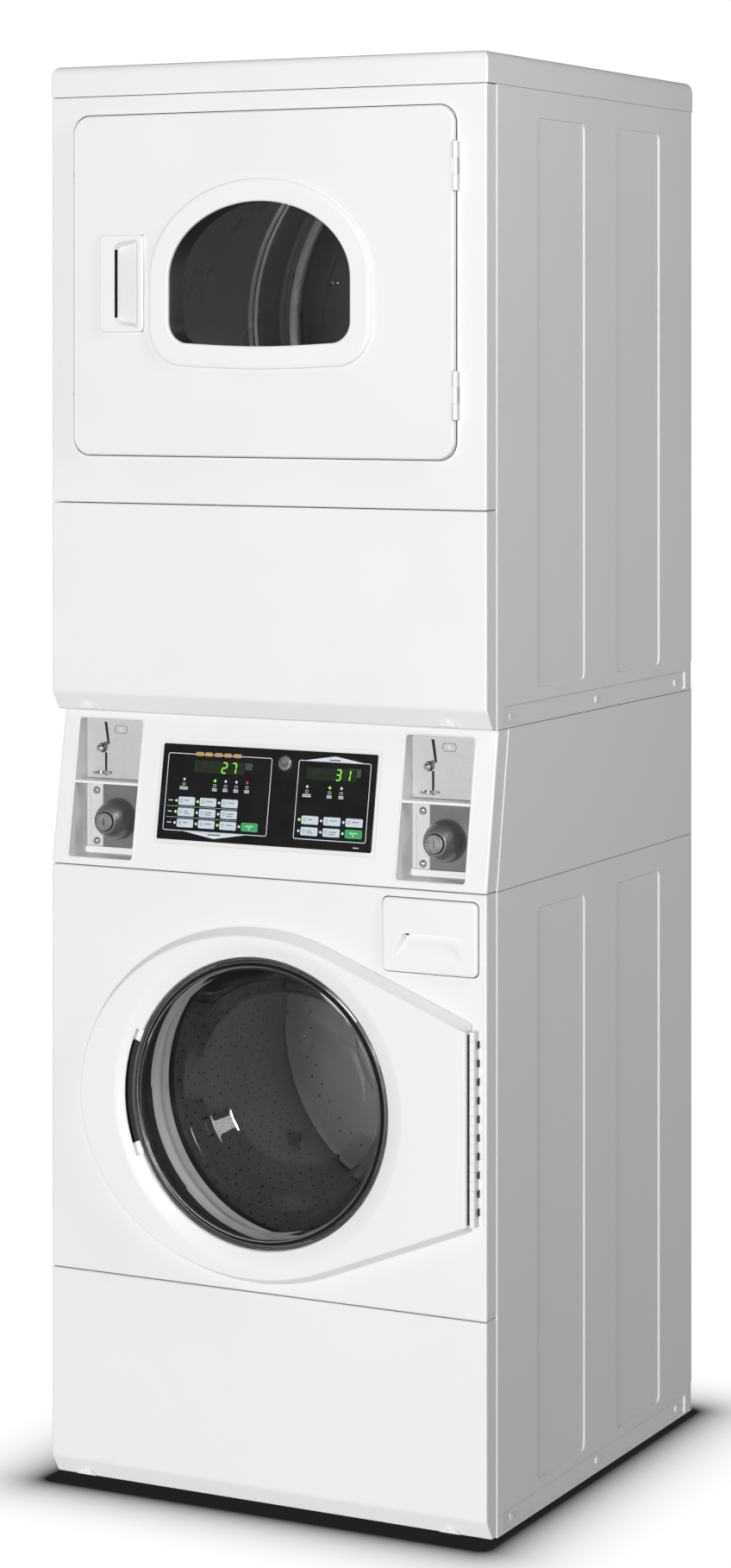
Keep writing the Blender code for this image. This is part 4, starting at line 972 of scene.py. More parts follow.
def make_print():
    """Printed frames, lines, marks and bars on the overlay. No lettering."""
    washer_u, washer_s = WASHER_FIELD
    dryer_u, dryer_s = DRYER_FIELD
    washer_middle, dryer_middle = sum(washer_u) / 2, sum(dryer_u) / 2
    shapes = [tube_frame(*WASHER_FIELD), tube_frame(*DRYER_FIELD)]
    flags = (
        [(washer_middle - 0.052, washer_s[0] + 0.0004), (washer_middle, washer_s[0] - 0.0082),
         (washer_middle + 0.052, washer_s[0] + 0.0004)],
        [(dryer_middle - 0.048, dryer_s[1] - 0.0004), (dryer_middle + 0.048, dryer_s[1] - 0.0004),
         (dryer_middle, dryer_s[1] + 0.0072)],
    )
    shapes += [face_loft([(flag, INK_N[1]), (flag, INK_N[0])]) for flag in flags]
    for s in ((KEY_S[0] + KEY_S[1]) / 2, (KEY_S[1] + KEY_S[2]) / 2):
        shapes.append(face_bar((KEY_U[0] - 0.031, KEY_U[2] + 0.013), (s - 0.0002, s + 0.0002), INK_N))
    for s in KEY_S:
        shapes.append(face_bar((KEY_U[0] - 0.029, KEY_U[0] - 0.0225), (s - 0.0006, s + 0.0007), INK_N))
    for u, _, width in LAMPS:
        shapes += caption(u, LAMP_S, width)
    shapes.append(face_bar((0.136, 0.145), (0.0492, 0.0504), INK_N))
    piece("overlay_print", merge(*shapes), "print", "cabinet")

    title = []
    for k, width in enumerate((0.0125, 0.0112, 0.012, 0.0116, 0.0122)):
        u = -0.1195 + 0.015 * k
        title.append(face_bar((u, u + width), (0.1618, 0.1672), (-0.0021, -0.0016), 0.0014))
    piece("overlay_title_marks", merge(*title), "lamp_amber", "cabinet")
    bars = []
    for middle, half, s in (
        (washer_middle, 0.01, washer_s[0] - 0.0036), (dryer_middle, 0.0085, dryer_s[1] + 0.0008),
    ):
        bars.append(face_bar((middle - half, middle + half), (s, s + 0.0018), (-0.0021, -0.0018)))
    piece("overlay_flag_bars", merge(*bars), "ink", "cabinet")


def make_lamps():
    """The overlay's lamps and its two displays."""
    lamps = {"lamp_off": [], "lamp_green": [], "lamp_red": []}
    for u, finish, _ in LAMPS:
        lamps[finish].append(lamp(u, LAMP_S))
    for row, s in enumerate(KEY_S):
        for column in range(3):
            lit = (row, column) in {(0, 1), (1, 0), (2, 2)}
            lamps["lamp_green" if lit else "lamp_off"].append(lamp(KEY_U[column] - KEY_LAMP, s))
    lamps["lamp_off"].append(lamp(KEY_U[3] - KEY_LAMP, KEY_S[2]))
    for row, s in enumerate(KEY_S[1:]):
        for column in range(3):
            lit = (row, column) == (0, 0)
            lamps["lamp_green" if lit else "lamp_off"].append(lamp(DRYER_KEY_U[column] - KEY_LAMP, s))
    for finish, shapes in lamps.items():
        piece(f"overlay_{finish}", merge(*shapes), finish, "cabinet")

    n = (-0.00205, -0.0016)
    panes = [face_bar((-0.1207, -0.0408), (0.1388, 0.1562), n, 0.0008),
             face_bar((0.056, 0.134), (0.1388, 0.155), n, 0.0008)]
    piece("display_windows", merge(*panes), "display", "cabinet")
    tails = [face_bar((-0.04, -0.029), (0.1462, 0.1555), INK_N, 0.0006),
             face_bar((0.12, 0.14), (0.1445, 0.156), INK_N, 0.0006)]
    piece("display_margins", merge(*tails), "display_margin", "cabinet")
    figures = (digit(-0.0765, 0.14, "abged") + digit(-0.0615, 0.14, "abc")
               + digit(0.102, 0.1395, "abgcd") + digit(0.1165, 0.1395, "bc"))
    piece("display_figures", merge(*figures), "lamp_green", "cabinet")


def make_service_lock():
    at = SERVICE_LOCK
    collar = [(0, -0.0016), (0.0118, -0.0016), (0.0118, -0.0021), (0.0108, -0.0027), (0.0103, -0.0027),
              (0, -0.0027)]
    collar = cut(face_turned(at, collar, 48), face_rod(at, 0.0101, 0.01, -0.01, 48))
    piece("service_lock_collar", collar, "black_plastic", "cabinet")
    body = [(0, 0.014), (0.0096, 0.014), (0.0096, -0.0032), (0.009, -0.0038), (0.0078, -0.004), (0, -0.004)]
    slot = face_bar(*about(at, 0.0009, 0.0042), (-0.01, -0.001), 0.0004)
    lock = cut(face_turned(at, body, 48), slot, face_rod(at, 0.0028, -0.0032, -0.01, 24))
    piece("service_lock_plug", lock, "lock_steel", "service_lock", ["service_lock"])


# Washer front and door ----------------------------------------------------------------------------

DOOR_CENTRE, DOOR_RADII = (-0.0086, 0.557), (0.2712, 0.235)
DOOR_FACE = -0.022  # depth of the door's flat rim, measured from the front
DOOR_LIP, SEAT, GRIP_SEAT = 0.2008, 0.1968, 0.2094
GRIP_HALF, GRIP_REACH = 0.0885, 0.2255
HINGE_X, HINGE_Y = 0.3255, FRONT - 0.0125
HINGE_EDGE = 0.3188
HINGE_Z = tuple(corner.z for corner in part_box("washer_door_hinge"))
KNUCKLES = 21


def polar(radius, depth, angle):
    """A point about the drum's axis, with its depth measured from the front."""
    return (radius * math.cos(angle), FRONT + depth, DRUM_Z + radius * math.sin(angle))


def door_outline(grow):
    """The door's outline round its window: an ellipse with tangents to the ends of the hinge edge."""
    a, b = DOOR_RADII[0] + grow, DOOR_RADII[1] + grow
    corners = [(HINGE_EDGE, HINGE_Z[1] + grow), (HINGE_EDGE, HINGE_Z[0] - grow)]

    def touch(corner, way):
        u, w = (corner[0] - DOOR_CENTRE[0]) / a, (corner[1] - DOOR_CENTRE[1]) / b
        return math.atan2(w, u) + way * math.acos(1 / math.hypot(u, w))

    first, last = touch(corners[0], 1), touch(corners[1], -1) + 2 * math.pi
    angles = [first + (last - first) * i / 240 for i in range(241)]
    curve = [(DOOR_CENTRE[0] + a * math.cos(t), DOOR_CENTRE[1] + b * math.sin(t)) for t in angles]
    return [corners[0]] + curve + [corners[1]]


def reach(outline, angle):
    """Distance from the drum's axis to an outline along an angle."""
    way = Vector((math.cos(angle), math.sin(angle)))
    best = 0.0
    for i, point in enumerate(outline):
        a = Vector(point) - Vector(DRUM)
        b = Vector(outline[(i + 1) % len(outline)]) - Vector(DRUM)
        across_a, across_b = way.cross(a), way.cross(b)
        if across_a * across_b <= 0 and across_a != across_b:
            hit = a + (b - a) * (across_a / (across_a - across_b))
            best = max(best, hit.dot(way))
    return best


def door_section(edge, base, kind):
    """Section through the door frame from its outer foot to its back, as (radius, depth)."""
    dish = min(0.2262, edge - 0.0072)
    outer = [(base, -0.0012), (base - 0.0006, -0.0026), (edge + 0.0004, -0.0192), (edge - 0.0004, -0.0206),
             (edge - 0.0014, -0.0215), (edge - 0.0028, DOOR_FACE)]
    bowl = [(dish, DOOR_FACE), (dish - 0.0035, -0.0217), (dish - 0.0085, -0.0206)]
    if kind == "plain":
        inner = [(0.2105, -0.0186), (0.2055, -0.0166), (DOOR_LIP + 0.001, -0.0154), (DOOR_LIP, -0.0144),
                 (DOOR_LIP - 0.0004, -0.0124), (DOOR_LIP - 0.0004, -0.0088)]
    else:
        under = GRIP_REACH if kind == "slot" else GRIP_SEAT
        inner = [(0.215, -0.0196), (0.2112, -0.0184), (0.2098, -0.0174), (GRIP_SEAT, -0.0162),
                 (under, -0.0158), (under, -0.0088)]
    return outer + bowl + inner + [(SEAT, -0.0088), (SEAT, -0.0012)]


def make_washer_front():
    low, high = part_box("washer_front_panel")
    drawer_low, drawer_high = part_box("dispenser_drawer")
    through = (FRONT - 0.01, FRONT + 0.01)
    slot = grown(((drawer_low.x, drawer_high.x), (drawer_low.z, drawer_high.z)), 0.0012)
    panel = cut(front_shell(low.z, high.z), rod(0.2118, through, DRUM, 160),
                prism(rounded(*slot, 0.0092), "Y", *through))
    piece("washer_front_skin", panel, "enamel", "cabinet", ["washer_front_panel"])


def make_washer_door():
    edge, base = door_outline(0.0), door_outline(0.0085)
    corners = [math.atan2(z - DRUM_Z, HINGE_EDGE) for z in (HINGE_Z[0] - 0.002, HINGE_Z[1] + 0.002)]
    grip = [math.pi + way * math.asin(GRIP_HALF / GRIP_SEAT) for way in (-1, 1)]
    slot = [math.pi + way * math.asin((GRIP_HALF - 0.011) / GRIP_REACH) for way in (-1, 1)]
    stations = [(a, None) for a in circle(300)]
    stations += [(a % (2 * math.pi) + d, None) for a in corners for d in (-0.004, 0, 0.004)]
    for a, b, way in ((grip[0], slot[0], 1), (grip[1], slot[1], -1)):
        stations += [(a - way * 0.0025, "plain"), (a + way * 0.001, "lip"),
                     (b - way * 0.0008, "lip"), (b + way * 0.0008, "slot")]
    loops = []
    for angle, kind in sorted(stations, key=lambda station: station[0]):
        if kind is None:
            kind = "slot" if slot[0] < angle < slot[1] else "lip" if grip[0] < angle < grip[1] else "plain"
        section = door_section(reach(edge, angle), reach(base, angle), kind)
        loops.append([polar(r, depth, angle) for r, depth in section])
    leaf_z = (HINGE_Z[0] + 0.002, HINGE_Z[1] - 0.002)
    leaf = block((HINGE_EDGE - 0.012, HINGE_X - 0.0022), (HINGE_Y - 0.0016, HINGE_Y + 0.0016), leaf_z)
    skin = join(loft(loops, closed=True), leaf)
    cut(skin, *(block((-0.264, -0.212), (FRONT - 0.023, FRONT - 0.0212), (z - 0.0006, z + 0.0006))
                for z in (0.4715, 0.649)))
    piece("washer_door_skin", skin, "plastic", "washer_door", ["washer_door_frame"], 24)
    make_washer_hinge()
    lining = [
        (SEAT - 0.0004, -0.0002), (0.2062, -0.0002), (0.2062, -0.0013), (SEAT - 0.0001, -0.0013),
        (SEAT - 0.0001, -0.0089), (0.2002, -0.0089), (0.2002, -0.0091), (SEAT - 0.0004, -0.0091),
    ]
    piece("washer_door_lining", turned_at(FRONT, lining, DRUM, 160), "black_plastic", "washer_door")
    # Painted shade: a black lining in the grip's undercut.
    section = ((0.2003, -0.0092), (0.2003, -0.0095), (0.2249, -0.0095), (0.2249, -0.0154),
               (0.2253, -0.0154), (0.2253, -0.0092))
    angles = [slot[0] + 0.004 + (slot[1] - slot[0] - 0.008) * k / 40 for k in range(41)]
    shade = loft([[polar(r, depth, a) for r, depth in section] for a in angles])
    piece("washer_door_grip_shade", shade, "black_plastic", "washer_door")
    hollow = fillet([
        (0, -0.0145), (0.19, -0.0145), (0.18, 0.012), (0.16, 0.056), (0.14, 0.08), (0.107, 0.0928),
        (0.058, 0.0985), (0, 0.099),
    ], [0, 0.004, 0.03, 0.03, 0.02, 0.03, 0.03, 0], 6)
    outside = fillet([
        (0, 0.103), (0.06, 0.1026), (0.11, 0.0968), (0.144, 0.084), (0.164, 0.059), (0.185, 0.012),
        (0.193, -0.009), (0.1993, -0.009), (0.1993, -0.0145), (0, -0.0145),
    ], [0, 0.03, 0.03, 0.02, 0.03, 0.03, 0.003, 0.0012, 0.0012, 0], 6)
    inner, outer = ([point for point in side[::-1] if point[0] > 0] for side in (hollow, outside))
    bowl = turned_at(FRONT, [(0, 0.099)] + inner + outer + [(0, 0.103)], DRUM, 160)
    piece("washer_door_bowl", bowl, "bowl_glass", "washer_door", ["washer_door_glass"], angle=50)


def make_washer_hinge():
    """The long hinge: knuckles that belong to the door and to the cabinet in turn, and their leaves."""
    pitch = (HINGE_Z[1] - HINGE_Z[0]) / KNUCKLES
    radius, ease = 0.0042, 0.0003
    barrels = {"washer_door": [], "cabinet": []}
    for k in range(KNUCKLES):
        z0, z1 = HINGE_Z[0] + k * pitch + 0.0001, HINGE_Z[0] + (k + 1) * pitch - 0.0001
        profile = [(0, z0), (radius - ease, z0), (radius, z0 + ease),
                   (radius, z1 - ease), (radius - ease, z1), (0, z1)]
        barrels["washer_door" if k % 2 else "cabinet"].append(turned(profile, "Z", (HINGE_X, HINGE_Y), 24))
    piece("washer_hinge_knuckles_door", merge(*barrels["washer_door"]), "enamel", "washer_door")
    # Painted shade: a black strip between the door's hinge edge and the knuckles.
    shade_z = (HINGE_Z[0] + 0.003, HINGE_Z[1] - 0.003)
    shade = block((HINGE_EDGE + 0.0002, HINGE_X - 0.0036), (HINGE_Y - 0.002, HINGE_Y - 0.0017), shade_z)
    piece("washer_hinge_shade", shade, "dark", "washer_door")
    # Painted shade: black dashes in the gaps beside the door's knuckles.
    gap_x, gap_y = (HINGE_X + 0.004, HINGE_X + 0.0052), (FRONT - 0.0046, FRONT - 0.0014)
    gap_shades = [block(gap_x, gap_y, (HINGE_Z[0] + (k + 0.15) * pitch, HINGE_Z[0] + (k + 0.95) * pitch))
            for k in range(1, KNUCKLES, 2)]
    piece("washer_hinge_gap_shades", merge(*gap_shades), "dark", "cabinet")
    leaf = [block((HINGE_X + 0.001, HINGE_X + 0.0026), (HINGE_Y, FRONT - 0.0004), HINGE_Z),
            block((HINGE_X + 0.001, HINGE_X + 0.0105), (FRONT - 0.0012, FRONT - 0.0003), HINGE_Z)]
    places = [(HINGE_X + 0.0078, FRONT - 0.0012, HINGE_Z[0] + rise) for rise in (0.02, 0.13, 0.24)]
    whole = merge(*barrels["cabinet"], *leaf, slotted_heads(places, 0.0022, 0.0008))
    piece("washer_hinge_leaf", whole, "enamel", "cabinet", ["washer_door_hinge"])


def bellows(name, d0, d1, front, finish, replaces=()):
    """A stretch of the convoluted door gasket, two waves long."""
    waves, steps = 2, 16
    outer = [(0.2108 + 0.003 * math.sin(math.pi * waves * k / steps) ** 2, d0 + (d1 - d0) * k / steps)
             for k in range(steps + 1)]
    inner = [(r - 0.004, d) for r, d in reversed(outer)]
    tube = turned_at(FRONT, front + outer + inner, DRUM, 144)
    piece(name, tube, finish, "cabinet", replaces, angle=60)


def make_gasket():
    lip = [(0.206, 0.0022), (0.22, 0.0022), (0.2204, 0.0048), (0.2108, 0.0056)]
    bellows("door_gasket_front", 0.008, 0.047, lip, "rubber", ["door_gasket"])
    bellows("door_gasket_rear", 0.0471, 0.097, [], "gasket")
    # Painted shade: a black ring where the dark gap between gasket and drum shows through the door glass.
    lip = fillet([(0.2066, 0.0975), (0.2128, 0.0975), (0.2128, 0.1125), (0.2066, 0.1125)], 0.0015, 3)
    piece("tub_mouth_shade_ring", turned_at(FRONT, lip, DRUM, 144), "rubber", "cabinet")


# Washer drum --------------------------------------------------------------------------------------

WASHER_FINS = (30, 150, 270)
WALL_RADIUS, BACK_DEPTH = 0.2534, 0.5303
HOLE_ROWS, HOLES_ROUND = 20, 60


def lifter(outer, height, half_outer, span, centre_z, angle):
    """A rounded lifter that runs along a drum."""
    a, half_inner = math.radians(angle), 0.009
    radial, tangent = Vector((math.cos(a), math.sin(a))), Vector((-math.sin(a), math.cos(a)))
    levels = []
    for t, shrink in ((0.0, 0.72), (0.03, 0.9), (0.08, 1.0), (0.92, 1.0), (0.97, 0.9), (1.0, 0.72)):
        top, foot, crest = outer - height * shrink, half_outer * shrink, half_inner * shrink
        section = fillet([(outer, -foot), (outer, foot), (top, crest), (top, -crest)],
                         [0, 0, half_inner * 0.9, half_inner * 0.9])
        points = [radial * r + tangent * w for r, w in section]
        levels.append(([(p.x, p.y + centre_z) for p in points], FRONT + span[0] + (span[1] - span[0]) * t))
    return stack(levels)


def hole_shade_disc(angle, y):
    """A small dark disc just inside the drum's wall: a punched hole drawn as painted shade."""
    way = Vector((math.cos(angle), 0, math.sin(angle)))
    side = Vector((0, 1, 0)).cross(way)
    loops = []
    for lift in (0.0004, -0.0003):
        middle = way * (WALL_RADIUS - lift) + Vector((0, y, DRUM_Z))
        loops.append([tuple(middle + side * 0.0019 * math.cos(t) + Vector((0, 0.0019 * math.sin(t), 0)))
                      for t in circle(8)])
    return loft(loops)


def back_hole_shade_disc(radius, degrees):
    """A small dark disc on the drum's back: a punched hole drawn as painted shade."""
    x, y, z = polar(radius, BACK_DEPTH, math.radians(degrees))
    return rod(0.002, (y + 0.0006, y - 0.0003), (x, z), 10)


def make_washer_drum():
    inside = [
        (0, 0.5305), (0.06, 0.5305), (0.066, 0.5265), (0.12, 0.5265), (0.126, 0.5305), (0.235, 0.5305),
        (0.25, 0.5285), (0.2534, 0.524), (0.2535, 0.5), (0.2527, 0.497), (0.2527, 0.493), (0.2535, 0.49),
        (0.2535, 0.16), (0.2527, 0.157), (0.2527, 0.153), (0.2535, 0.15), (0.2535, 0.1166), (0.2142, 0.1166),
        (0.2128, 0.1158),
    ]
    wall = [
        (0.2128, 0.115), (0.2545, 0.115), (0.255, 0.1158), (0.255, 0.15), (0.2542, 0.153), (0.2542, 0.157),
        (0.255, 0.16), (0.255, 0.49), (0.2542, 0.493), (0.2542, 0.497), (0.255, 0.5), (0.255, 0.526),
        (0.252, 0.532),
    ]
    shaft = [
        (0.0195, 0.532), (0.0195, 0.615), (0.14, 0.615), (0.14, 0.618), (0.136, 0.621), (0.14, 0.624),
        (0.14, 0.627), (0.0195, 0.627), (0.0195, 0.64), (0, 0.64),
    ]
    drum = turned_at(FRONT, inside + wall + shaft, DRUM, 120)
    fins = [lifter(0.2538, 0.048, 0.024, (0.15, 0.5), DRUM_Z, angle) for angle in WASHER_FINS]
    drum = merge(drum, *fins)
    piece("washer_drum_skin", drum, "stainless", "washer_drum", ["washer_drum"])
    # Painted shade: dark discs for the drum's punched holes, with a black ring at the back corner.
    holes = []
    for row in range(HOLE_ROWS):
        for k in range(HOLES_ROUND):
            a = 2 * math.pi * (k + 0.5 * (row % 2)) / HOLES_ROUND
            if min(abs(math.degrees(a) - fin) for fin in WASHER_FINS) > 6.5:
                holes.append(hole_shade_disc(a, FRONT + 0.17 + 0.016 * row))
    bolts = []
    rim = [(0.0062, 0.5308), (0.0085, 0.5308), (0.0078, 0.5296), (0.0068, 0.5296)]
    for k in range(45):
        holes.append(back_hole_shade_disc(0.207, 8 * k + 4))
        if k % 4 == 3:
            x, y, z = polar(0.219, BACK_DEPTH, math.radians(8 * k))
            bolts += [turned_at(FRONT, rim, (x, z), 24), slotted_head((x, y, z), 0.0036, 0.0026)]
        else:
            holes.append(back_hole_shade_disc(0.219, 8 * k))
    seam = ((0.2502, 0.5288), (0.2536, 0.524), (0.2536, 0.5232), (0.25, 0.5282))
    holes.append(turned_at(FRONT, seam, DRUM, 120))
    piece("washer_drum_hole_shades", merge(*holes), "dark", "washer_drum")
    piece("washer_drum_bolts", merge(*bolts), "chrome", "washer_drum")


def make_drawer():
    low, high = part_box("dispenser_drawer")
    face = low.y
    levels = [
        (0.0016, face + 0.015), (0.0, face + 0.014), (0.0, face + 0.0034), (0.0005, face + 0.0019),
        (0.0016, face + 0.0008), (0.0032, face + 0.0002), (0.0048, face),
    ]
    mouth = [(0.2175, 0.81), (0.3027, 0.8092), (0.3078, 0.7745), (0.2025, 0.7745)]
    mouth = fillet(mouth, [0.006, 0.008, 0.004, 0.004], 6)
    floor = [(0.2192, 0.8092), (0.301, 0.8084), (0.299, 0.799), (0.22, 0.799)]
    floor = fillet(floor, [0.004, 0.006, 0.006, 0.004], 6)
    grip = stack([(mouth, face - 0.001), (mouth, face), (floor, face + 0.0085)])
    drawer = cut(plate((low.x, high.x), (low.z, high.z), 0.0085, levels), grip)
    tray_x, tray_z = (low.x + 0.005, high.x - 0.005), (low.z + 0.016, high.z - 0.02)
    join(drawer, prism(rounded(tray_x, tray_z, 0.006, 4), "Y", face + 0.013, high.y))
    middle = tray_x[0] + 0.62 * (tray_x[1] - tray_x[0])
    wells_x = ((tray_x[0] + 0.002, middle - 0.001), (middle + 0.001, tray_x[1] - 0.002))
    wells_y, wells_z = (face + 0.017, high.y - 0.002), (tray_z[0] + 0.002, tray_z[1] + 0.01)
    wells = [prism(rounded(x, wells_y, 0.006, 4), "Z", *wells_z) for x in wells_x]
    cut(drawer, *wells)
    node = "dispenser_drawer"
    piece("dispenser_drawer_skin", drawer, "plastic", node, [node])
    # Painted shade: a black block in the top corner of the grip's scoop.
    shade = block((0.2188, 0.2232), (face + 0.0072, face + 0.0076), (0.8062, 0.8086))
    piece("dispenser_drawer_notch_shade", shade, "dark", "dispenser_drawer")


# Dryer --------------------------------------------------------------------------------------------

WINDOW_X, WINDOW_Z, WINDOW_SPRING = 0.142, (1.597, 1.796), 1.69
MOUTH = ((-0.225, 0.225), (1.515, 1.835))
BULGE = ((-0.207, 0.207), (1.533, 1.817))
DRYER_HINGE = (0.2975, FRONT - 0.0085)
DRYER_HINGES_Z = ((1.805, 1.871), (1.499, 1.564))


def window_outline(grow):
    """The window: an arched top, upright sides, rounded lower corners and a slightly bowed sill."""
    a, b = WINDOW_X + grow, WINDOW_Z[1] - WINDOW_SPRING + grow
    angles = [math.pi * i / 60 for i in range(61)]
    top = [(a * math.cos(t), WINDOW_SPRING + b * math.sin(t)) for t in angles]
    r, bow = 0.03 + grow * 0.75, 0.0045
    low = WINDOW_Z[0] - grow + bow
    left, right = arc((-a + r, low + r), r, 180, 262, 10), arc((a - r, low + r), r, 278, 360, 10)
    (x0, sill_z), x1 = left[-1], right[0][0]
    sill = [(x0 + (x1 - x0) * i / 12, sill_z - bow * math.sin(math.pi * i / 12)) for i in range(1, 12)]
    return top + left + sill + right


def window_loft(levels, closed=True):
    """A body round the window from levels of (growth, depth from the front)."""
    return stack([(window_outline(grow), FRONT + depth) for grow, depth in levels], closed=closed)


def dryer_barrel(z0, z1):
    """A knuckle of the dryer door's hinges."""
    end = ((0, 0.0), (0.0031, 0.0), (0.0034, 0.0003))
    profile = [(r, z0 + d) for r, d in end] + [(r, z1 - d) for r, d in reversed(end)]
    return turned(profile, "Z", DRYER_HINGE, 20)


def make_dryer_front():
    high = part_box("dryer_front_panel")[1]
    mouth = rounded(*MOUTH, 0.06, 12)
    z0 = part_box("dryer_lower_panel")[1].z + 2 * GAP
    panel = cut(front_shell(z0, high.z), prism(mouth, "Y", FRONT - 0.01, FRONT + 0.01))
    piece("dryer_front_skin", panel, "enamel", "cabinet", ["dryer_front_panel"])
    outer = rounded(*grown(MOUTH, 0.0015), 0.0615, 12)
    near, far = FRONT + 0.0007, FRONT + 0.071
    collar = stack([(outer, near), (outer, far), (mouth, far), (mouth, near)], closed=True)
    piece("dryer_mouth_collar", collar, "enamel", "cabinet")
    bulkhead = block((-0.333, 0.333), (FRONT + 0.068, FRONT + 0.07), (1.345, 1.94))
    bulkhead = cut(bulkhead, prism(mouth, "Y", FRONT, FRONT + 0.1))
    piece("dryer_bulkhead", bulkhead, "galvanised", "cabinet")
    (x, y), fixed, moving = DRYER_HINGE, [], []
    for z0, z1 in DRYER_HINGES_Z:
        third, gap = (z1 - z0) / 3, 0.0002
        for span in ((z0, z0 + third - gap), (z1 - third + gap, z1)):
            fixed += [dryer_barrel(*span), block((x - 0.0008, x + 0.0012), (y, FRONT + 0.0008), span)]
        span = (z0 + third, z1 - third)
        moving += [dryer_barrel(*span), block((x - 0.0055, x), (y - 0.0012, y + 0.002), span)]
    piece("dryer_hinge_halves", merge(*fixed), "enamel", "cabinet")
    piece("dryer_hinge_middles", merge(*moving), "enamel", "dryer_door")


def make_dryer_door():
    low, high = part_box("dryer_door")
    plan = x, z = ((low.x, 0.2955), (low.z, high.z))
    edge = ((0.0, -0.001), (0.0, -0.0076), (0.0003, -0.0086), (0.0009, -0.0094), (0.0017, -0.0099),
            (0.0025, -0.01))
    back = ((0.0, -0.003), (0.0, 0.034), (0.001, 0.037), (0.003, 0.039), (0.006, 0.04))
    edge, back = ([(inset, FRONT + depth) for inset, depth in levels] for levels in (edge, back))
    door = cut(
        join(plate(x, z, 0.025, edge, 12), plate(*BULGE, 0.05, back, 12)),
        prism(rounded(*grown(plan, -0.006), 0.019), "Y", FRONT - 0.0085, FRONT - 0.0024),
        prism(rounded(*grown(BULGE, -0.0015), 0.0485), "Y", FRONT - 0.004, FRONT + 0.0385),
        prism(window_outline(0.006), "Y", FRONT - 0.03, FRONT + 0.06),
        block((-0.237, -0.184), (FRONT - 0.03, FRONT - 0.006), (1.6175, 1.7525)),
        *(block((0.2938, 0.31), (FRONT - 0.02, FRONT + 0.02), z) for z in grown(DRYER_HINGES_Z, 0.001)),
    )
    piece("dryer_door_skin", door, "enamel", "dryer_door", ["dryer_door"])
    buffers = [block((-0.2986, -0.297), (FRONT - 0.0085, FRONT - 0.005), (bz - 0.0014, bz + 0.0014))
               for bz in (1.837, 1.53)]
    piece("dryer_door_buffers", merge(*buffers), "dark", "dryer_door")
    # Painted shadow: a thin black ring round the door, a little outside its edge, for the shadow gap.
    plan = ((x[0] - 0.004, x[1] + 0.0002), (z[0] - 0.001, z[1] + 0.001))
    rim = [(rounded(*grown(plan, grow), 0.025 + grow, 12), FRONT + depth)
           for grow, depth in ((0.0, 0.0004), (0.0, -0.0004), (0.0012, -0.0004), (0.0012, 0.0004))]
    piece("dryer_door_shade_line", stack(rim, closed=True), "rubber", "cabinet")

    bezel = window_loft((
        (0.032, -0.01), (0.0319, -0.012), (0.0312, -0.0134), (0.0298, -0.0144), (0.0276, -0.0149),
        (0.0255, -0.015), (0.003, -0.015), (0.0012, -0.0146), (0.0002, -0.0136), (0.0, -0.012),
        (0.0, -0.01),
    ))
    piece("window_bezel_skin", bezel, "plastic", "dryer_door", ["window_bezel"], angle=50)
    pane = window_loft(((0.0066, -0.006), (0.007, -0.0064), (0.007, -0.0092), (0.0066, -0.0096)), False)
    piece("window_pane", pane, "pane_glass", "dryer_door", ["window_glass"])
    seal = window_loft(((0.0004, -0.0099), (0.0058, -0.0099), (0.0058, -0.0096), (0.0004, -0.0096)))
    piece("window_seal", seal, "rubber", "dryer_door")
    tunnel = window_loft(((0.0059, -0.0052), (0.0044, -0.0052), (0.0044, 0.0402), (0.01, 0.0402),
                          (0.01, 0.0392), (0.0059, 0.0392)))
    piece("window_tunnel", tunnel, "black_plastic", "dryer_door")


def make_handle():
    low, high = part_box("dryer_door_handle")
    face, middle = low.y, (low + high) / 2
    plan = ((low.x, high.x), (low.z, high.z))

    def outline(inset):
        """The rim, whose sides are bowed a little."""
        points, half = [], (high.z - low.z) / 2
        for x, z in rounded(*grown(plan, -inset), max(0.007 - inset, 0.001), 6):
            bow = 0.0016 * ((z - middle.z) / half) ** 2
            points.append((x - bow if x > middle.x else x + bow, z))
        return points

    rim = [(outline(inset), face + depth) for inset, depth in (
        (0.0, 0.0038), (0.0, 0.0018), (0.0006, 0.0008), (0.0018, 0.0002), (0.0034, 0.0))]
    handle = join(stack(rim), block((-0.2355, -0.1855), (face + 0.0015, high.y), (1.619, 1.751)))
    mouth = [(-0.2292, 1.6345), (-0.2225, 1.627), (-0.1905, 1.6232), (-0.1905, 1.7468), (-0.2225, 1.742),
             (-0.2292, 1.735)]
    floor = [(-0.229, 1.64), (-0.2235, 1.633), (-0.196, 1.629), (-0.196, 1.741), (-0.2235, 1.736),
             (-0.229, 1.73)]
    mouth, floor = (fillet(points, [0.01, 0.008, 0.003, 0.003, 0.008, 0.01]) for points in (mouth, floor))
    scoop = [[(x, face + depth, z) for x, z in mouth] for depth in (-0.002, 0.0)]
    scoop.append([(x, face + 0.01 - 0.0045 * (x + 0.229) / 0.033, z) for x, z in floor])
    cut(handle, loft(scoop), block((-0.2335, -0.228), (face + 0.0022, face + 0.0098), (1.637, 1.7325)))
    piece("dryer_handle_skin", handle, "plastic", "dryer_door", ["dryer_door_handle"])
    # Painted shade: a black floor and wall in the undercut at the scoop's left side.
    slit_shade = block((-0.2334, -0.229), (face + 0.0092, face + 0.0097), (1.6374, 1.7321))
    wall = block((-0.2334, -0.2331), (face + 0.0024, face + 0.0094), (1.6374, 1.7321))
    piece("dryer_handle_slit", merge(slit_shade, wall), "dark", "dryer_door")


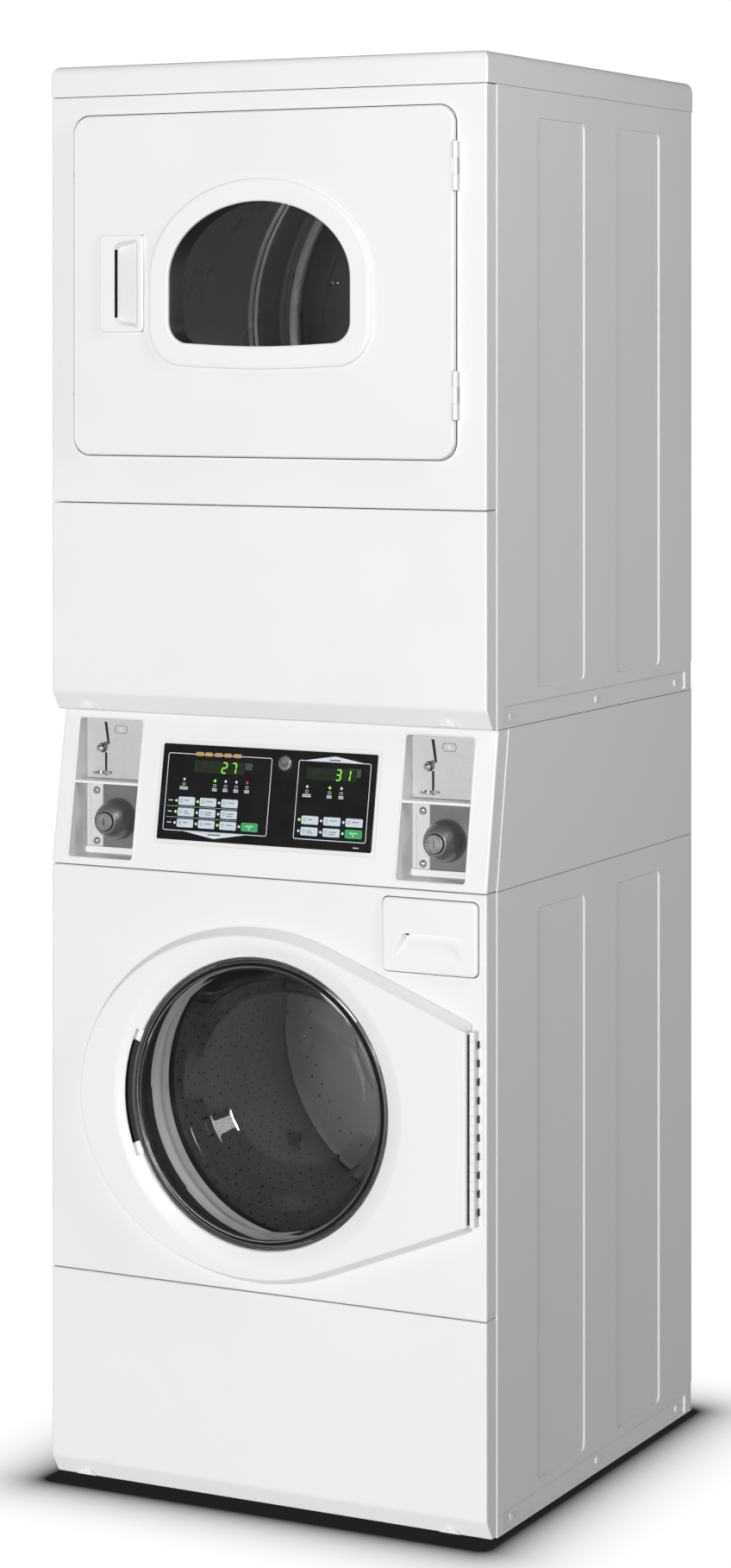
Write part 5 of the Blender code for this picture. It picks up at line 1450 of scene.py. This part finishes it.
def make_dryer_drum():
    inside = [
        (0, 0.629), (0.2395, 0.629), (0.24, 0.6302), (0.2414, 0.6302), (0.242, 0.628), (0.28, 0.6365),
        (0.2804, 0.64), (0.284, 0.64), (0.2842, 0.6362), (0.29, 0.6335), (0.2985, 0.6245),
        (0.295, 0.6212), (0.295, 0.618), (0.2995, 0.612), (0.296, 0.609), (0.296, 0.606),
        (0.3004, 0.6), (0.3005, 0.529), (0.2976, 0.525), (0.2976, 0.523), (0.3005, 0.519),
        (0.3005, 0.512), (0.2966, 0.508), (0.2966, 0.505), (0.3005, 0.5), (0.3005, 0.076),
        (0.28, 0.076),
    ]
    outside = [
        (0.28, 0.0746), (0.3012, 0.0746), (0.302, 0.0756), (0.302, 0.641), (0.301, 0.642), (0.012, 0.642),
        (0.012, 0.704), (0, 0.7048),
    ]
    drum = turned_at(FRONT, inside + outside, DRYER_DRUM, 144)
    fins = [lifter(0.3008, 0.055, 0.022, (0.11, 0.59), DRYER_DRUM_Z, angle) for angle in (90, 210, 330)]
    rise = math.degrees(math.asin(0.04 / 0.234))
    dome = arc(DRYER_DRUM, 0.234, rise, 180 - rise, 60)[2:-2]
    segment = fillet([(-0.229, 1.676), (0.229, 1.676)] + dome, [0.02, 0.02] + [0] * len(dome), 8)
    panel = stack([([(x * k, 1.74 + (z - 1.74) * k) for x, z in segment], FRONT + depth)
                   for k, depth in ((1.0, 0.6292), (1.0, 0.6262), (0.994, 0.625))])
    whole = merge(drum, *fins, panel)
    piece("dryer_drum_skin", whole, "painted_drum", "dryer_drum", ["dryer_drum"])
    places = ((-0.2225, 1.696), (-0.214, 1.696), (0.214, 1.696), (0, 1.853))
    heads = slotted_heads([(x, FRONT + 0.625, z) for x, z in places], 0.004, 0.002)
    piece("dryer_drum_screws", heads, "chrome", "dryer_drum")


# Works inside and the back ------------------------------------------------------------------------

WORKS = {
    "washer_base": ("galvanised", 0.0006, "galvanised_steel"),
    "washer_tub": ("stainless", 0.0006, "stainless_steel"),
    "washer_motor": ("motor", 0.0012, "motor_paint"),
    "motor_pulley": ("zinc", 0.0006, "galvanised_steel"),
    "washer_belt": ("rubber", 0.0005, "black_rubber"),
    "dryer_belt": ("rubber", 0.0005, "black_rubber"),
    "dryer_motor": ("motor", 0.0012, "motor_paint"),
    "blower_wheel": ("galvanised", 0.0005, "galvanised_steel"),
    "blower_housing": ("galvanised", 0.0004, "galvanised_steel"),
    "lint_filter": ("plastic", 0.0006, "white_plastic"),
}


def make_works():
    """Inner parts keep their CAD shapes, with their edges eased and a finish that fits."""
    bodies = {node: made["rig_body"] for node, made in frame["nodes"].items()}
    for node, (finish, width, slot) in WORKS.items():
        piece(f"{node}_detail", soften(solid_of(node), width), finish, bodies[node], [node])
    low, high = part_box("lint_filter")
    (x0, x1), (z0, z1) = span = ((low.x + 0.01, high.x - 0.01), (low.z + 0.01, high.z - 0.03))
    (wide, tall), y = grown(span, 0.0005), low.y
    wires = []
    for x in (x0 + (x1 - x0) * k / 48 for k in range(1, 48)):
        wires.append(block((x - 0.0003, x + 0.0003), (y + 0.0046, y + 0.0052), tall))
    for z in (z0 + (z1 - z0) * k / 24 for k in range(1, 24)):
        wires.append(block(wide, (y + 0.004, y + 0.0046), (z - 0.0003, z + 0.0003)))
    piece("lint_filter_mesh", merge(*wires), "zinc", "lint_filter")


def make_back():
    """Rear covers' screws, hose ports, terminal covers, the exhaust's collar and the louvres."""
    places = [(x, BACK, z) for x in (-0.31, -0.155, 0.0, 0.155, 0.31) for z in (0.035, 0.745, 1.105, 1.925)]
    places += [(x, BACK, z) for z in (0.4, 0.6, 1.45, 1.65) for x in (-0.31, 0.31)]
    piece("rear_screws", slotted_heads(places, 0.0048, 0.002, "+Y"), "zinc", "cabinet")
    thread = [(0.0118 + (0.0008 if k % 2 else 0.0), 0.004 + 0.0011 * k) for k in range(14)]
    port = [(0, -0.002), (0.019, -0.002), (0.019, 0.0032), (0.0118, 0.0036)] + thread + [
        (0.01, 0.0196), (0.0094, 0.0196), (0.0094, 0.008), (0, 0.008)]
    drain = [(0, -0.002), (0.028, -0.002), (0.028, 0.003), (0.0165, 0.0042), (0.0165, 0.02), (0.018, 0.0215),
             (0.0165, 0.023), (0.014, 0.023), (0.014, 0.006), (0, 0.006)]
    piece("drain_port", turned_at(BACK, drain, (0.225, 0.085), 48), "black_plastic", "cabinet")
    ports = [turned_at(BACK, port, (x, 0.8), 40) for x in (-0.245, -0.195)]
    piece("hose_ports", merge(*ports), "zinc", "cabinet")
    lids = []
    for at in TERMINALS.values():
        levels = ((0.0, -0.0005), (0.0, 0.008), (0.0015, 0.0104), (0.004, 0.0116))
        lids.append(stack([(rounded(*grown(about(at, 0.035, 0.025), -inset), 0.006), BACK + depth)
                           for inset, depth in levels]))
    piece("terminal_covers", merge(*lids), "enamel", "cabinet")
    collar = [(0.0512, -0.0015), (0.064, -0.0015), (0.064, 0.0026), (0.0535, 0.0034), (0.0535, 0.009),
              (0.0512, 0.009)]
    collar = turned_at(BACK, fillet(collar, 0.0007, 2), EXHAUST, 72)
    piece("exhaust_collar", collar, "galvanised", "cabinet")
    ribs = []
    section = [(-0.0008, -0.005), (-0.0008, 0.005), (0.0016, 0.0034), (0.0046, -0.0028)]
    for z0, z1 in ((0.16, 0.28), (1.74, 1.84)):
        for z in (z0 + (z1 - z0) * row / 6 for row in range(7)):
            louvre = fillet([(BACK + depth, z + dz) for depth, dz in section], 0.001, 2)
            ribs += [prism(louvre, "X", x - 0.03, x + 0.03) for x in (-0.13, -0.05, 0.05, 0.13)]
    piece("rear_louvres", merge(*ribs), "enamel", "cabinet")


# Stage --------------------------------------------------------------------------------------------

FLOOR_REACH = 60.0
FLOOR_GLOW, FLOOR_SEEN = 0.4, 1.05
SHADOW_REACH, SHADOW_DEPTH, SHADOW_DARKEST = 0.059, 1.4, 0.015
SHADOW_INSET = (0.012, 0.024)
WORLD_LIGHT, WORLD_GLOSS, WORLD_SEEN = 0.08, 0.12, 1.05


def make_floor():
    """A pale floor that glows evenly, with a soft shadow painted round the casing's foot."""
    mesh = bpy.data.meshes.new("stage_floor")
    bm = bmesh.new()
    corners = [(-1, -1), (1, -1), (1, 1), (-1, 1)]
    bm.faces.new([bm.verts.new((x * FLOOR_REACH, y * FLOOR_REACH, 0)) for x, y in corners])
    bm.to_mesh(mesh)
    bm.free()
    floor = add_object("stage_floor", mesh)
    made, graph, shader, place = start("floor_pale")
    graph.nodes.remove(shader)
    low, high = CAD_BOX
    middle = ((low[0] + high[0]) / 2, (low[1] + high[1]) / 2, 0)
    half = ((high[0] - low[0]) / 2 - SHADOW_INSET[0], (high[1] - low[1]) / 2 - SHADOW_INSET[1], 1)

    def vector_step(operation, *values):
        node = graph.add("VectorMath", dict(enumerate(values)), operation=operation)
        return node.outputs["Value" if operation == "LENGTH" else "Vector"]

    def step(operation, *values):
        return graph.add("Math", dict(enumerate(values)), operation=operation).outputs[0]

    # Painted shadow: the camera sees the floor darker the nearer it lies to the casing's footprint.
    away = vector_step("ABSOLUTE", vector_step("SUBTRACT", place, middle))
    away = vector_step("MAXIMUM", vector_step("SUBTRACT", away, half), (0, 0, 0))
    shade = step("EXPONENT", step("MULTIPLY", vector_step("LENGTH", away), -1 / SHADOW_REACH))
    lit = step("MAXIMUM", step("MULTIPLY_ADD", shade, -SHADOW_DEPTH, FLOOR_SEEN), SHADOW_DARKEST)
    seen = graph.add("LightPath").outputs["Is Camera Ray"]
    mix = graph.add("Mix", {0: seen, 2: FLOOR_GLOW, 3: lit}, data_type="FLOAT")
    glow = graph.add("Emission", {"Strength": mix.outputs[0]})
    graph.feed(graph.nodes["Material Output"], "Surface", glow.outputs["Emission"])
    mesh.materials.append(made)


def make_world():
    world = bpy.data.worlds.new("studio")
    bpy.context.scene.world = world
    world.use_nodes = True
    graph = Graph(world.node_tree)
    ray, level = graph.add("LightPath"), WORLD_LIGHT
    for kind, value in (("Glossy", WORLD_GLOSS), ("Transmission", WORLD_GLOSS), ("Camera", WORLD_SEEN)):
        mix = graph.add("Mix", {0: ray.outputs[f"Is {kind} Ray"], 2: level, 3: value}, data_type="FLOAT")
        level = mix.outputs[0]
    graph.feed(graph.nodes["Background"], "Strength", level)
    graph.feed(graph.nodes["Background"], "Color", (1, 1, 1, 1))


def add_light(name, kind, energy, at=(0, 0, 0), facing=None, **settings):
    """A lamp at a place. It shines against the facing direction."""
    light = bpy.data.lights.new(name, kind)
    light.energy = energy
    for setting, value in settings.items():
        setattr(light, setting, value)
    obj = add_object(name, light)
    obj.location = at
    if facing:
        obj.rotation_euler = Vector(facing).to_track_quat("Z", "Y").to_euler()


def make_lights():
    add_light("front_sun", "SUN", 2.46, facing=(0.06, -1.0, 0.08), angle=math.radians(10))
    at, towards = Vector((2.5, -1.0, 2.8)), Vector((HALF, 0, 1.2))
    add_light("side_panel", "AREA", 33, at, at - towards, shape="RECTANGLE", size=0.25, size_y=2.4)
    at = (0.04, FRONT + 0.3, DRUM_Z + 0.16)
    add_light("washer_glow", "POINT", 0.2, at, shadow_soft_size=0.05)
    at = (-0.08, FRONT + 0.48, DRYER_DRUM_Z + 0.05)
    add_light("dryer_glow", "POINT", 0.65, at, shadow_soft_size=0.03)


def make_camera():
    camera = bpy.data.cameras.new("view")
    camera.lens = 85.57
    camera.sensor_width = 36.0
    camera.shift_y = -0.277
    camera.clip_end = 200
    obj = add_object("view", camera)
    obj.location = (2.471, FRONT - 4.4712, 1.5927)
    obj.rotation_euler = (math.radians(90), 0, math.radians(27.343))
    bpy.context.scene.camera = obj
    bpy.context.scene.view_settings.view_transform = "Standard"


make_casing()
make_feet()
make_fascia()
make_controls()
make_washer_front()
make_washer_door()
make_gasket()
make_washer_drum()
make_drawer()
make_dryer_front()
make_dryer_door()
make_handle()
make_dryer_drum()
make_works()
make_back()
make_floor()
make_world()
make_lights()
make_camera()
